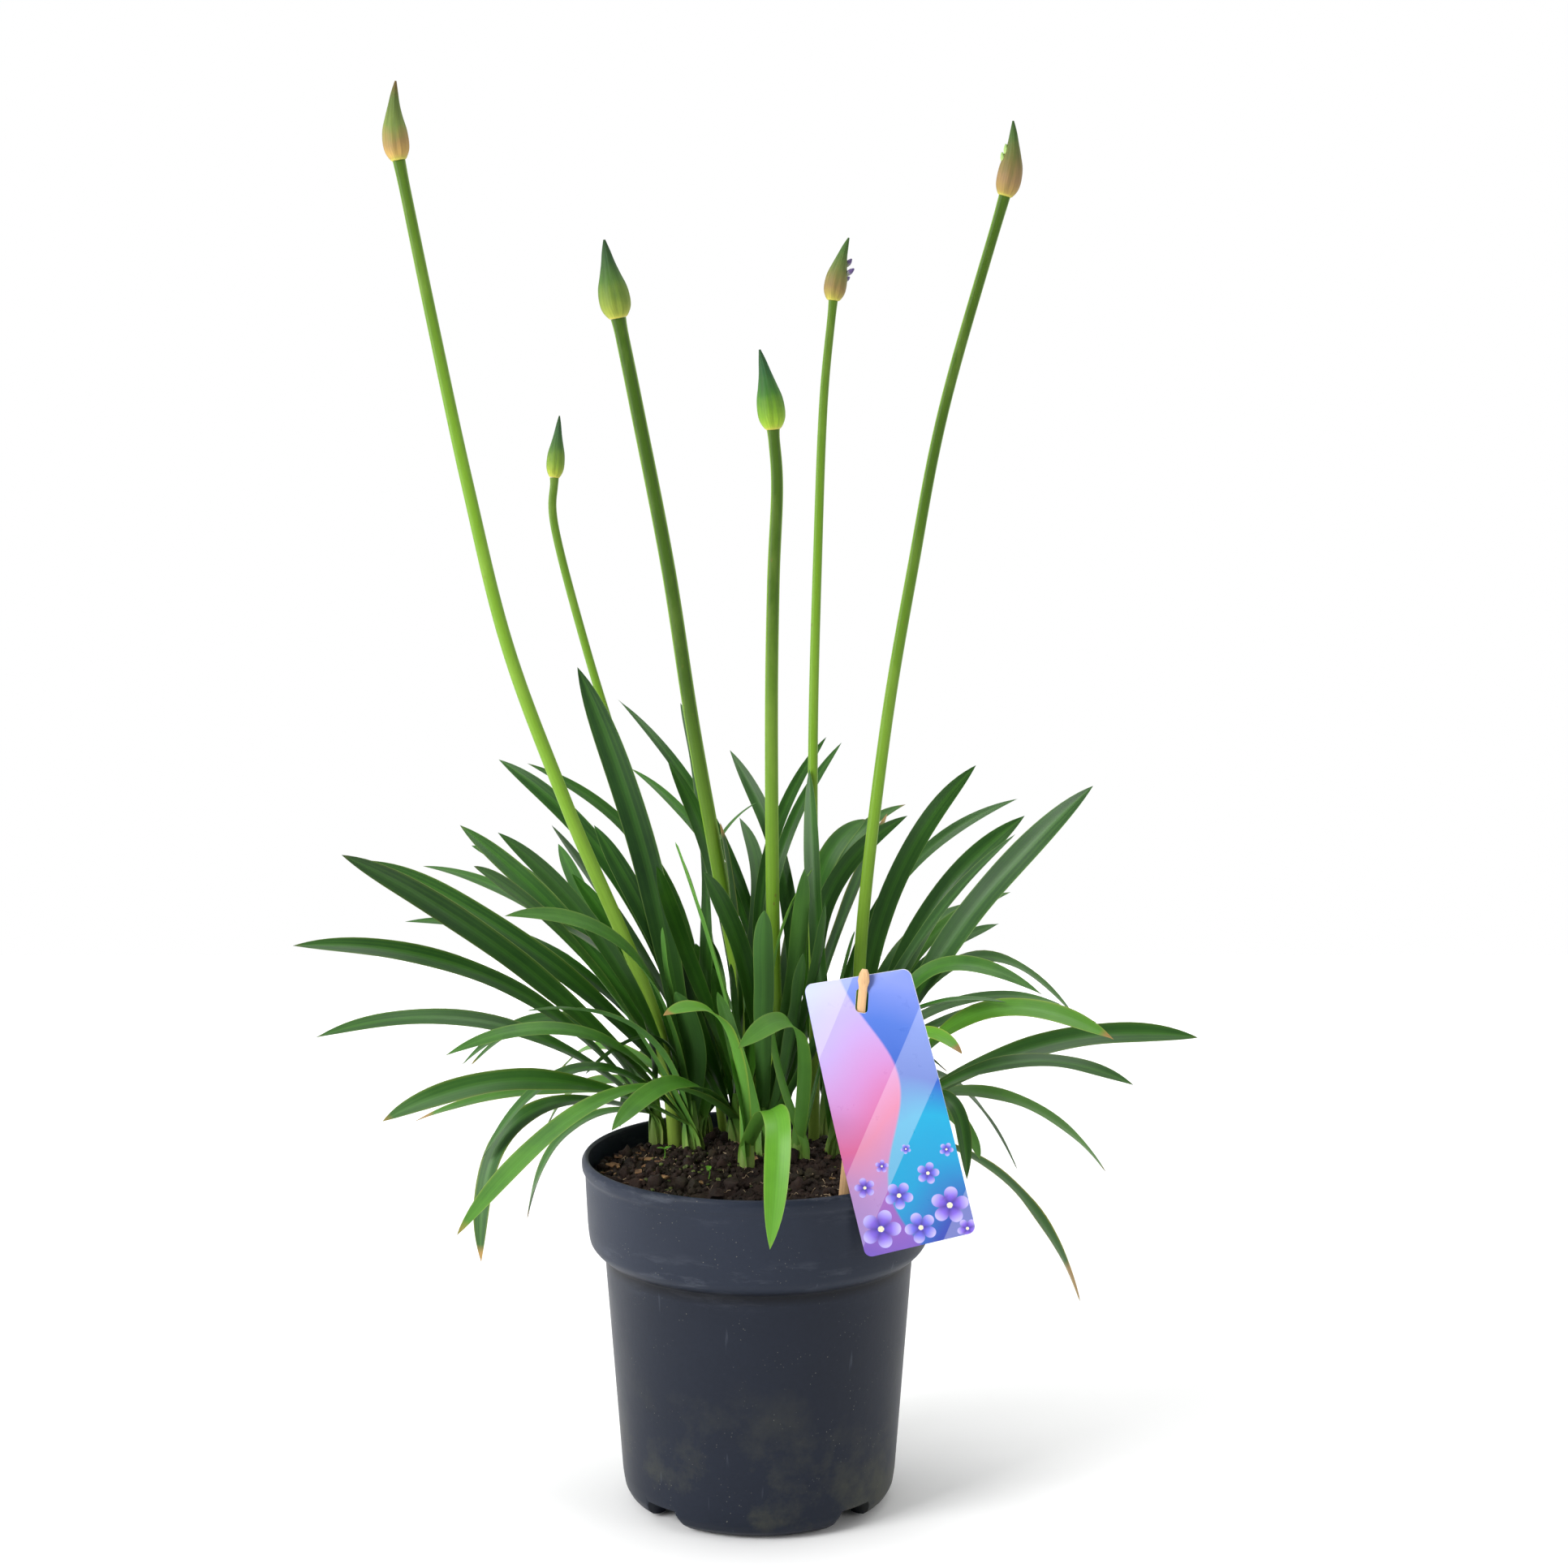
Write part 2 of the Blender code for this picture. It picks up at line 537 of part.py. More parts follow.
def leaf_blade(root, bend, tip, width, roll, swell=0.0, first=0):
    """A strap leaf with a channel: a four-point section along the curve, ending in one point."""
    control = leaf_curve(root, bend, tip)
    run = Vector((tip.x - root.x, tip.y - root.y, 0)).normalized()
    level = Vector((run.y, -run.x, 0))
    turn = math.radians(roll if run.x > 0 else -roll)
    bm = bmesh.new()
    rings = []
    for station in range(first, LEAF_STATIONS):
        t = 1 - (1 - station / LEAF_STATIONS) ** 1.2
        centre = root.lerp(control, t).lerp(control.lerp(tip, t), t)
        ahead = ((control - root) * (1 - t) + (tip - control) * t).normalized()
        lean = Matrix.Rotation(turn * min(1.0, 2.2 * t), 3, ahead)
        across = lean @ (level - ahead * level.dot(ahead)).normalized()
        up = across.cross(ahead)
        if t < 0.5:
            share = LEAF_FOOT_SHARE + (1 - LEAF_FOOT_SHARE) * t / 0.5
        else:
            share = max(0.0, 1 - ((t - 0.5) / 0.5) ** LEAF_TIP_POWER)
        half = (width + swell) / 2 * share
        thick = (LEAF_THICKNESS * (0.55 + 0.45 * share) + swell) / 2
        rise = up * half * LEAF_CHANNEL
        rings.append([bm.verts.new(centre + offset) for offset in
                      (across * half + rise, up * thick, -across * half + rise, -up * thick)])
    end = bm.verts.new(tip)
    for near, far in zip(rings, rings[1:]):
        for edge in (0, 2):
            for face in (1, 3):
                bm.faces.new((near[edge], near[face], far[face]))
                bm.faces.new((near[edge], far[face], far[edge]))
    for side in range(4):
        bm.faces.new((rings[-1][side], rings[-1][(side + 1) % 4], end))
    bm.faces.new(rings[0])
    bmesh.ops.recalc_face_normals(bm, faces=bm.faces)
    return bm


def back_leaves():
    """Leaf rows for the back and the heart, in the same form as the hand-placed ones."""
    draw = random.Random(BACK_SEED)

    def between(ends, share):
        return ends[0] + (ends[1] - ends[0]) * share

    rows = []
    for number in range(BACK_COUNT):
        heading = math.radians(between(BACK_HEADINGS, (number + 0.5) / BACK_COUNT))
        layer = (number * 2 % BACK_LAYERS) / (BACK_LAYERS - 1)
        reach = between(BACK_REACH, 1 - 0.8 * draw.random())
        height = between(BACK_TIP_HEIGHT, layer)
        tip = Vector((math.cos(heading) * reach, math.sin(heading) * reach, height))
        bend = Vector((tip.x * BACK_BEND[0], tip.y * BACK_BEND[1],
                       (LEAF_START + height) / 2 + between(BACK_ARCH, layer)))
        width = between(BACK_WIDTH, draw.random())
        rows.append((nearest_shoot(bend), bend, tip, width, BACK_ROLL * (2 * draw.random() - 1)))
    middle_x, middle_y = HEART_MIDDLE
    for number in range(HEART_COUNT):
        heading = math.tau * (number + 0.3) / HEART_COUNT
        reach = between(HEART_REACH, draw.random())
        tip = Vector((middle_x + math.cos(heading) * reach,
                      middle_y + math.sin(heading) * reach * 0.7,
                      between(HEART_TIP_HEIGHT, draw.random())))
        bend = Vector((tip.x * 0.8, middle_y + (tip.y - middle_y) * 0.7,
                       between((LEAF_START, tip.z), 0.6)))
        rows.append((nearest_shoot(bend), bend, tip, between(HEART_WIDTH, draw.random()), 0))
    return rows


def nearest_shoot(place):
    """The shoot that stands nearest to below a leaf's bend."""
    return min(SHOOTS, key=lambda name: math.hypot(SHOOTS[name][0] - place.x * 0.5,
                                                   SHOOTS[name][1] - place.y * 0.5))


def slid(place, amount):
    """A place moved back or forward along its own line of sight."""
    reach = 1 + amount / (place.y - EYE.y)
    return EYE + (place - EYE) * reach


def boxes_meet(first, second):
    """Whether two boxes, each given as its lowest and highest corner, overlap."""
    return all(a_low < b_high and b_low < a_high for a_low, a_high, b_low, b_high
               in zip(first[0], first[1], second[0], second[1]))


def solid_tree(bm):
    """A search tree of a solid's faces, with its box."""
    corners = [vert.co for vert in bm.verts]
    low = [min(corner[axis] for corner in corners) for axis in range(3)]
    high = [max(corner[axis] for corner in corners) for axis in range(3)]
    return BVHTree.FromBMesh(bm), (low, high)


def grow_leaves(obstacles):
    """Place every leaf on a shoot, slid along its line of sight until it comes clear.

    Near its root a leaf may cross others of its own shoot, which it is fused with. It tries its
    own shoot first and then the nearest ones, and is left out if it fits nowhere.
    """
    rows = []
    for name, bend, tip, width, roll in LEAVES:
        rows.append((name, sight(*bend), sight(*tip), width, roll))
    rows += back_leaves()
    for name in SHOOTS:
        bm = sleeve(name, GAP)
        obstacles.append((name, *solid_tree(bm)))
        bm.free()
    grown = {name: [] for name in SHOOTS}
    free_parts = []
    slides = [0.0]
    for step in range(1, SIDE_STEPS):
        slides += [step * SIDE_STEP, -step * SIDE_STEP]
    for home, bend, tip, width, roll in rows:
        names = sorted(SHOOTS, key=lambda name: math.dist(SHOOTS[name], SHOOTS[home]))
        for name, slide in [(name, slide) for name in names[:4] for slide in slides]:
            root, end = leaf_root(name, tip), slid(tip, slide)
            if abs(end.y) > DEPTH_REACH:
                continue
            ends = (root, slid(bend, slide * 0.5), end, width, roll)
            bm = leaf_blade(*ends, swell=LEAF_CLEARANCE)
            tree, box = solid_tree(bm)
            bm.free()
            if any(owner != name and boxes_meet(box, other_box) and tree.overlap(other)
                   for owner, other, other_box in obstacles):
                continue
            free_part = leaf_blade(*ends, first=FREE_STATION)
            free_tree, free_box = solid_tree(free_part)
            free_part.free()
            if any(owner == name and boxes_meet(free_box, other_box) and free_tree.overlap(other)
                   for owner, other, other_box in free_parts):
                continue
            free_parts.append((name, free_tree, free_box))
            bm = leaf_blade(*ends)
            obstacles.append((name, *solid_tree(bm)))
            grown[name].append(bm)
            break
    return grown


def as_obstacle(made):
    """A finished object as an obstacle in millimetres that belongs to no shoot."""
    bm = bmesh.new()
    bm.from_mesh(made.data)
    bmesh.ops.scale(bm, vec=(1 / MM,) * 3, verts=bm.verts)
    tree = solid_tree(bm)
    bm.free()
    return (None, *tree)


def make_shoots(surface, obstacles):
    """One solid for each shoot: its sleeve and its leaves, fused."""
    shoots = []
    for name, blades in grow_leaves(obstacles).items():
        shoot = finish(f"shoot_{name}", sleeve(name), surface, smooth=60)
        leaves = [finish(f"leaf_{name}_{number}", blade, surface)
                  for number, blade in enumerate(blades)]
        if leaves:
            combine(shoot, leaves, "UNION", "MANIFOLD")
            keep_main_body(shoot)
        shoots.append(shoot)
    return shoots


def main():
    for old in list(bpy.data.objects):
        bpy.data.objects.remove(old)
    plastic = material("pot_plastic", (0.075, 0.085, 0.105), 0.55)
    peat = material("peat", (0.045, 0.03, 0.022), 0.95)
    green = material("leaf", (0.09, 0.2, 0.04), 0.5)
    stem = material("stem", (0.28, 0.42, 0.1), 0.5)
    spathe = material("spathe", (0.36, 0.42, 0.14), 0.6)
    print_card = material("card", (0.42, 0.42, 0.75), 0.35)
    bamboo = material("bamboo", (0.72, 0.52, 0.32), 0.7)

    pot = make_pot(plastic)
    card = make_card(print_card)
    stick = make_stick(bamboo)
    scapes = [make_scape(name, stem) for name in SCAPES]
    for name in BUDS:
        make_bud(name, spathe)

    holes = []
    for name in SHOOTS:
        holes.append(finish(f"hole_{name}", sleeve(name, GAP, SLEEVE_FOOT - GAP), peat))
    for name in SCAPES:
        path, radii = scape_path(name)
        wide = [radius + GAP for radius in radii]
        start = path[0] + (path[0] - path[1]).normalized() * GAP
        holes.append(finish(f"hole_{name}", tube([start] + path[1:4], wide[:4], SCAPE_SIDES), peat))
    along = (STICK_HEAD - STICK_FOOT).normalized()
    slit = [STICK_FOOT - along * GAP, STICK_FOOT + along * SLIT_LENGTH]
    slit_tube = tube(slit, (SLIT_RADIUS, SLIT_RADIUS), 4, flat=SLIT_FLAT, start=stick_across())
    holes.append(finish("hole_stick", slit_tube, peat))
    soil = make_soil(peat, holes)

    obstacles = [as_obstacle(made) for made in [pot, soil, card, stick] + scapes]
    make_shoots(green, obstacles)


main()
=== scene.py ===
import math
import random

import bmesh
import bpy
from bpy.props import FloatProperty, FloatVectorProperty, IntProperty, PointerProperty
from mathutils import Matrix, Vector, noise
from mathutils.kdtree import KDTree


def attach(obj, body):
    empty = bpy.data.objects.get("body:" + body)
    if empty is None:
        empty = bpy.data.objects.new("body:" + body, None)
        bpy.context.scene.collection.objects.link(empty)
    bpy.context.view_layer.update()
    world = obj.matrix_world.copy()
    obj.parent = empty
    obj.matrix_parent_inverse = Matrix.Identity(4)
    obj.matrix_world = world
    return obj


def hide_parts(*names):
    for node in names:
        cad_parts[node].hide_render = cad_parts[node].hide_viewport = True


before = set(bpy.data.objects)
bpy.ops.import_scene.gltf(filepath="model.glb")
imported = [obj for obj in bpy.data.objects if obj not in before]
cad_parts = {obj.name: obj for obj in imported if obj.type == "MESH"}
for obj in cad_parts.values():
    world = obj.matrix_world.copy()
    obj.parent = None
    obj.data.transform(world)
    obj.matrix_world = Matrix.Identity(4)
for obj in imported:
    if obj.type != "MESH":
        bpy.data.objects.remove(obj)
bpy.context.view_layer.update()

bl_info = {
    "name": "Potted agapanthus",
    "version": (1, 0, 0),
    "blender": (4, 5, 0),
    "location": "3D View > Sidebar > Agapanthus",
    "description": "A potted agapanthus in bud, with its soil, leaves, stems and plant label",
    "category": "Add Mesh",
}

# Lengths in the tables are millimetres; a mesh is turned into metres as it is closed
MM = 0.001

# The pot's section, as (radius, height), read from the axis outwards and back in
POT_SECTION = [
    (0, 12.4), (56, 12.4), (57.5, 10), (57.5, 0), (62, 0), (66.5, 1.2), (70.5, 4.2), (72.8, 8.5),
    (74.0, 16), (82.9, 136.4), (86.2, 138.4), (89.0, 141.2), (90.7, 143.8), (91.4, 147.5),
    (92.0, 154), (93.2, 181), (94.8, 183.4), (95.0, 187.5), (93.2, 190), (91.4, 189.2), (91.0, 181),
    (89.8, 154), (89.2, 147.8), (88.6, 144.6), (87.3, 142.6), (84.9, 140.2), (80.8, 137.9),
    (72.0, 20), (70.0, 14), (0, 14)]
# Heights in metres: the corner under the shoulder, with its painted shade line, and where the
# collar's painted light starts and is full
POT_CORNER, COLLAR_START, COLLAR_FULL = 0.1355, 0.1365, 0.139
# How far a corner's rounding reaches, and the most it takes of a side
CORNER_REACH, CORNER_SHARE = 1.0, 0.35
EDGE_ANGLE, POT_SHARP_ANGLE = math.radians(38), math.radians(36)
NOTCH_COUNT, NOTCH_HEADING = 4, 45
NOTCH_RADIUS, NOTCH_DEPTH, NOTCH_START = 68, 30, -2
NOTCH_WIDTH_LOW, NOTCH_WIDTH_HIGH, NOTCH_HEIGHT = 31.0, 20.0, 11.4

# The soil's section inside the pot, from the middle of its underside to its edge
SOIL_SECTION = [(0, 14.4), (69.4, 14.4), (71.6, 20.2), (80.4, 138.1), (84.5, 140.4), (86.9, 142.8),
                (88.2, 144.8), (88.8, 148.0), (89.4, 154.2), (90.4, 177.5)]
SOIL_SIDES, SOIL_RINGS = 176, 58
SOIL_EDGE, SOIL_HEAP, SOIL_REACH = 177.5, 10.5, 90.0
SOIL_LUMP, SOIL_LUMP_SIZES = 1.5, (11.0, 6.0)
# The finer relief: height and size of each layer of bumps
SOIL_RELIEF = ((3.0, 8.0), (1.8, 3.0), (1.5, 1.3))
SOIL_SEED = 5
# Every few crumbs one is a clod, larger by these two
CLOD_EVERY, CLOD_GROWTH = 9, (1.5, 0.3)
# The patches where most chips and most moss lie: middle and width, across and in depth
CHIP_PATCH = ((-66, 38), (4, 74))
MOSS_PATCH = ((-40, 52), (-22, 66))
ROOT_COUNT, ROOT_EVERY, ROOT_RADIUS, ROOT_STATIONS = 190, 9, 0.21, 14
MOSS_COUNT = 130
# A seedling stands at (x, y) with its leaves along a heading; its stem and leaf lengths
SEEDLINGS = [(-51.2, 4.9, 35), (-26.1, -35.3, 110)]
SEEDLING_RISE, SEEDLING_LEAF, SEEDLING_HALF_WIDTH = Vector((0.6, -0.5, 5.6)), 4.2, 1.55

# Where each shoot stands in the soil
SHOOTS = {
    "a": (-36, 18), "b": (-32, 53), "c": (-6, -22), "d": (-13, 34), "e": (22, -5),
    "f": (41, 7), "g": (62, 0), "h": (13, 62), "i": (56, 48), "j": (-57, 42),
    "k": (2, 4), "l": (37, 68),
}
# The sleeve of leaf bases at each shoot's foot, and where its blades leave it
SLEEVE_SIZE, SLEEVE_SIDES, SLEEVE_STATIONS = (6.6, 4.8), 20, 10
SLEEVE_FOOT, SLEEVE_WAIST, SLEEVE_TOP = 160.0, 194.0, 214.0
LEAF_START, LEAF_OFFSET = 201.0, 3.0
# A blade's clasping base: how far in it starts, its start and bend above the sleeve's foot
CLASP_STATIONS, CLASP_INSET, CLASP_START = 6, 2.4, 8
KNEE_REACH, KNEE_START = 13, 18
# How sections crowd towards the tip, and how soon the full roll is reached
TIP_CROWDING, ROLL_RATE = 1.25, 2.2
# Points round a blade's section: share across, and whether on the upper or the lower face
BLADE_SECTION = [(1.0, 0), (0.86, 1), (0.62, 1), (0.34, 1), (0.1, 1), (-0.1, 1), (-0.34, 1),
                 (-0.62, 1), (-0.86, 1), (-1.0, 0), (-0.8, -1), (-0.42, -1), (-0.1, -1), (0.1, -1),
                 (0.42, -1), (0.8, -1)]
LEAF_THICKNESS, LEAF_CHANNEL, CLASP_THICKNESS = 1.3, 0.17, 0.75
# Share of the full width at a leaf's foot, how late it narrows to its tip, and the least share
LEAF_FOOT_SHARE, LEAF_TIP_POWER, LEAF_TIP_SHARE = 0.6, 6.0, 0.02

# A leaf's path is read against an upright ruler at the pot's axis, as seen from this eye point
EYE = Vector((13.6, -1550.0, 605.0))
EYE_PITCH = 7.9
EYE_LENS = 68.01

# Each leaf: bend (across, height, depth), tip (across, height, depth), width, roll, and how
# light and how weathered its blade is, from 0 to 1
LEAVES = [
    ((10, 206, -93), (6, 136, -113), 13.5, 20, 0.86, 0.1),
    ((-92, 214, -95), (-163, 144, -168), 15.0, 0, 0.62, 0.2),
    ((-101, 305, -20), (-151, 346, -66), 15.5, 38, 0.36, 0.1),
    ((112, 189, -18), (174, 107, -46), 11.5, 0, 0.45, 1.0),
    ((-145, 286, 18), (-248, 303, -14), 12.0, 48, 0.25, 0.1),
    ((160, 251, 34), (235, 253, 44), 13.5, 43, 0.35, 0.1),
    ((115, 323, 12), (177, 389, 4), 15.5, 70, 0.2, 0.0),
    ((-68, 380, 48), (-95, 452, 46), 15.5, 70, 0.14, 0.0),
    ((-157, 315, 0), (-221, 352, -36), 14.0, 66, 0.18, 0.1),
    ((-132, 229, -22), (-202, 207, -62), 14.0, 40, 0.42, 0.2),
    ((-145, 261, 34), (-237, 253, 22), 12.0, 33, 0.3, 0.1),
    ((-28, 310, -22), (-44, 359, -40), 15.0, 40, 0.72, 0.0),
    ((-10, 300, 8), (-29, 343, -6), 14.0, 60, 0.35, 0.0),
    ((-27, 268, -64), (-51, 265, -100), 11.0, 28, 0.9, 0.4),
    ((13, 262, -52), (-11, 247, -88), 12.0, 38, 0.7, 0.1),
    ((12, 310, -4), (29, 345, -14), 9.5, 48, 0.88, 0.1),
    ((29, 353, 34), (27, 398, 42), 10.5, 60, 0.4, 0.0),
    ((125, 268, -12), (190, 252, -34), 13.0, 38, 0.75, 0.3),
    ((153, 240, 2), (201, 227, -4), 11.0, 28, 0.3, 0.1),
    ((137, 219, 18), (187, 179, 14), 10.5, 28, 0.66, 0.2),
    ((101, 334, 48), (141, 373, 58), 13.0, 63, 0.22, 0.0),
    ((79, 351, 76), (115, 400, 98), 11.5, 58, 0.3, 0.0),
    ((-82, 310, -12), (-135, 319, -48), 12.5, 38, 0.6, 0.1),
    ((-124, 211, 22), (-150, 129, 8), 12.0, 38, 0.3, 0.3),
    ((-59, 222, -58), (-79, 202, -84), 11.0, 28, 0.66, 0.1),
    ((-161, 327, 58), (-206, 349, 66), 12.5, 53, 0.22, 0.1),
    ((-125, 339, 78), (-158, 368, 96), 12.0, 53, 0.3, 0.1),
    ((-92, 364, 70), (-137, 403, 88), 11.5, 58, 0.22, 0.0),
    ((-93, 255, 2), (-168, 243, -18), 10.5, 28, 0.55, 0.1),
    ((-110, 263, 40), (-159, 238, 32), 9.5, 28, 0.5, 0.1),
    ((-106, 264, 62), (-154, 238, 64), 8.5, 28, 0.5, 0.2),
    ((-98, 205, 62), (-125, 153, 60), 11.0, 28, 0.45, 0.3),
    ((-128, 223, 72), (-185, 207, 84), 8.5, 28, 0.6, 0.6),
    ((-136, 310, 88), (-188, 316, 108), 8.5, 28, 0.3, 0.0),
    ((-142, 336, 108), (-178, 346, 136), 8.0, 28, 0.4, 0.1),
    ((-129, 345, 118), (-152, 357, 146), 8.5, 28, 0.3, 0.0),
    ((-82, 377, 108), (-122, 401, 138), 8.5, 38, 0.5, 0.1),
    ((-102, 330, 26), (-138, 364, 20), 11.5, 58, 0.4, 0.0),
    ((-93, 330, 84), (-106, 358, 98), 9.5, 48, 0.45, 0.0),
    ((-64, 328, 36), (-87, 368, 30), 11.5, 68, 0.2, 0.0),
    ((-84, 322, 66), (-99, 342, 70), 10.0, 58, 0.45, 0.0),
    ((-48, 326, 54), (-54, 346, 58), 10.0, 48, 0.5, 0.0),
    ((-50, 292, 2), (-51, 313, -16), 10.5, 38, 0.66, 0.0),
    ((-17, 262, -44), (-22, 278, -58), 9.5, 38, 0.6, 0.0),
    ((17, 384, 88), (36, 415, 108), 7.0, 28, 0.35, 0.0),
    ((23, 379, 78), (44, 412, 96), 7.0, 28, 0.35, 0.0),
    ((-2, 385, 88), (-15, 408, 98), 9.5, 48, 0.3, 0.0),
    ((-13, 371, 68), (-1, 380, 56), 12.5, 28, 0.6, 0.0),
    ((-36, 380, 68), (-48, 403, 78), 10.5, 58, 0.4, 0.0),
    ((-47, 405, 118), (-74, 435, 138), 7.0, 28, 0.35, 0.0),
    ((-45, 380, 130), (-67, 398, 152), 6.0, 28, 0.45, 0.1),
    ((-33, 401, 58), (-41, 433, 60), 10.5, 68, 0.2, 0.0),
    ((-2, 350, 76), (-10, 372, 82), 10.5, 38, 0.45, 0.0),
    ((45, 362, 84), (57, 371, 104), 11.5, 38, 0.5, 0.1),
    ((84, 349, 116), (137, 382, 148), 8.0, 28, 0.4, 0.0),
    ((45, 344, 56), (79, 373, 72), 10.5, 58, 0.3, 0.0),
    ((58, 368, 136), (78, 379, 164), 7.5, 28, 0.5, 0.2),
    ((98, 313, 58), (134, 332, 76), 8.5, 38, 0.62, 0.1),
    ((102, 303, 98), (128, 315, 122), 8.0, 28, 0.45, 0.0),
    ((98, 292, 16), (152, 276, 6), 10.5, 38, 0.55, 0.1),
    ((121, 297, 68), (171, 262, 82), 9.5, 28, 0.5, 0.2),
    ((132, 270, 98), (181, 261, 122), 7.5, 28, 0.5, 0.1),
    ((118, 275, 128), (162, 271, 154), 7.5, 28, 0.5, 0.1),
    ((97, 254, -28), (109, 244, -42), 8.5, 28, 0.95, 0.55),
    ((103, 211, -12), (119, 186, -22), 9.5, 28, 0.6, 0.1),
    ((103, 218, -36), (112, 175, -52), 8.5, 28, 0.3, 0.1),
    ((-99, 224, 98), (-115, 200, 118), 9.5, 28, 0.7, 0.6),
    ((-92, 247, 112), (-108, 232, 134), 7.5, 28, 0.8, 0.8),
]
# The leaves at the back and in the heart follow a rule: an even fan of headings, with a seed
BACK_SEED, BACK_COUNT = 11, 22
BACK_HEADINGS = (8.0, 172.0)
BACK_REACH = (104.0, 168.0)
BACK_TIP_HEIGHT = (172.0, 352.0)
BACK_LAYERS = 5
BACK_ARCH = (42.0, 12.0)
BACK_BEND = (0.58, 0.62)
BACK_WIDTH = (9.0, 14.0)
BACK_ROLL = 20.0
HEART_COUNT = 14
HEART_MIDDLE = (6.0, 34.0)
HEART_REACH = (30.0, 64.0)
HEART_TIP_HEIGHT = (262.0, 362.0)
HEART_WIDTH = (10.0, 13.0)
SIDE_STEP, SIDE_STEPS = 6.0, 17
# Two readings of the same tip agree within this
TIP_MATCH = 0.05

# The flower stems: points (across, height, depth) up the ruler, radius at the foot and the top
SCAPES = {
    "1": ([(-42, 150, 41), (-53, 255, 34), (-100, 375, 18), (-131, 461, 8), (-151, 546, 2),
           (-168, 630, 0), (-184, 713, 0)], 4.3, 2.9),
    "2": ([(-13, 150, 66), (-24, 235, 72), (-43, 303, 78), (-71, 397, 82), (-90, 461, 82),
           (-106, 525, 78), (-106, 551, 78)], 2.6, 2.2),
    "3": ([(3, 150, 52), (-5, 250, 48), (-18, 327, 44), (-34, 418, 38), (-47, 504, 32),
           (-63, 588, 28), (-72, 633, 26)], 4.3, 3.6),
    "4": ([(13, 150, 26), (11, 225, 22), (8, 301, 16), (7, 418, 8), (8, 495, 4),
           (10, 546, 2), (8, 576, 0)], 4.2, 3.0),
    "5": ([(29, 150, 36), (30, 250, 38), (29, 330, 42), (29, 420, 46), (31, 504, 50),
           (34, 588, 54), (39, 642, 56)], 3.2, 2.2),
    "6": ([(52, 150, 27), (53, 235, 26), (55, 310, 26), (67, 418, 24), (81, 504, 22),
           (97, 588, 20), (127, 695, 16)], 3.8, 2.7),
}
FINE_STATIONS = 77
# A stem widens under its bud: by this share, from this share of its length on, over this share
FLARE, FLARE_START, FLARE_LENGTH = 0.14, 0.965, 0.035
# How dark each stem's painted shade up its channels is, and the share of its length where that
# starts
CHANNEL_SHADE = {"1": (0.8, 0.72), "2": (0.55, 0.6), "3": (0.95, 0.25), "4": (0.9, 0.35),
                 "5": (0.55, 0.65), "6": (0.85, 0.45)}

# The buds: tip (across, height) on the ruler, greatest radius, and the colours from its foot up
BUDS = {
    "1": ((-185, 753), 6.7, ("ada24a", "b0904e", "94794a", "6c7d3c", "56682f", "6b4d2a")),
    "2": ((-103, 583), 4.9, ("b0b448", "97a436", "6f8a2e", "4a6c2e", "325630", "2a4826")),
    "3": ((-79, 673), 8.2, ("b3b24a", "8d9838", "6b7f30", "48682a", "2c4c26", "1f3d1e")),
    "4": ((1, 617), 7.2, ("b4b848", "8cab2c", "688f26", "3e6c26", "28542c", "214828")),
    "5": ((47, 674), 6.0, ("b9b24a", "9c8c44", "857044", "64703a", "46652c", "40602c")),
    "6": ((131, 733), 6.5, ("b8ad48", "9a8046", "8c724c", "726a3c", "48642e", "345222")),
}
BUD_PROFILE = [(0.0, 0.52), (0.05, 0.75), (0.14, 0.95), (0.26, 1.0), (0.40, 0.92), (0.54, 0.70),
               (0.70, 0.46), (0.86, 0.27), (1.0, 0.07)]
# Florets in a bud's split: share up the bud, heading, lean, length
FLORETS = {
    "5": [(0.30, -10, 52, 9.0), (0.42, 20, 40, 8.5), (0.26, 40, 66, 7.5)],
    "6": [(0.27, 200, 14, 10.0), (0.36, 228, 8, 10.5)],
}
FLORET_RADIUS, FLORET_STATIONS, FLORET_SIDES = 1.25, 14, 12
FLORET_GIRTHS = (0.6, 0.55, 0.8, 1.15, 1.0, 0.3)
FLORET_COLOURS = {"5": ("b9c98c", "8f9a72", "5d4a7a", "46386a"),
                  "6": ("b9cf86", "a5c070", "9db868", "86a858")}
BUD_SIDES, BUD_STATIONS = 32, 40

# The label card, its slot and the bamboo stick
CARD_SIZE = (58.0, 142.0, 0.8)
CARD_CORNER = 4.0
CARD_MIDDLE = Vector((67.0, -82.4, 232.5))
CARD_TILT, CARD_TURN = -13.6, -20.0
CARD_TURN_SHARE = 0.7
CARD_BOW_LENGTH, CARD_BOW = 42.0, 0.0046
SLOT_SIZE, SLOT_CUT, SLOT_CORNER = (6.6, 12.0), 10, 2.2
SLOT_DROP, SLOT_LEAN = 12.0, 18.0
STICK_FOOT = Vector((42.0, -58.0, 150.0))
STICK_HEAD = Vector((54.4, -80.5, 306.5))
STICK_TURN = -17.0
# Share of the stick's length, width, thickness
STICK_FORM = [(0.0, 3.0, 1.6), (0.06, 5.8, 2.0), (0.3, 5.6, 2.0), (0.6, 5.9, 2.0),
              (0.83, 5.8, 2.0), (0.85, 4.4, 1.5), (0.94, 4.4, 1.5), (0.96, 6.0, 1.8),
              (0.985, 5.0, 1.8), (1.0, 2.8, 1.4)]
STICK_CORNERS = ((-1, -0.4), (-0.7, -1), (0.7, -1), (1, -0.4), (1, 0.4), (0.7, 1), (-0.7, 1),
                 (-1, 0.4))
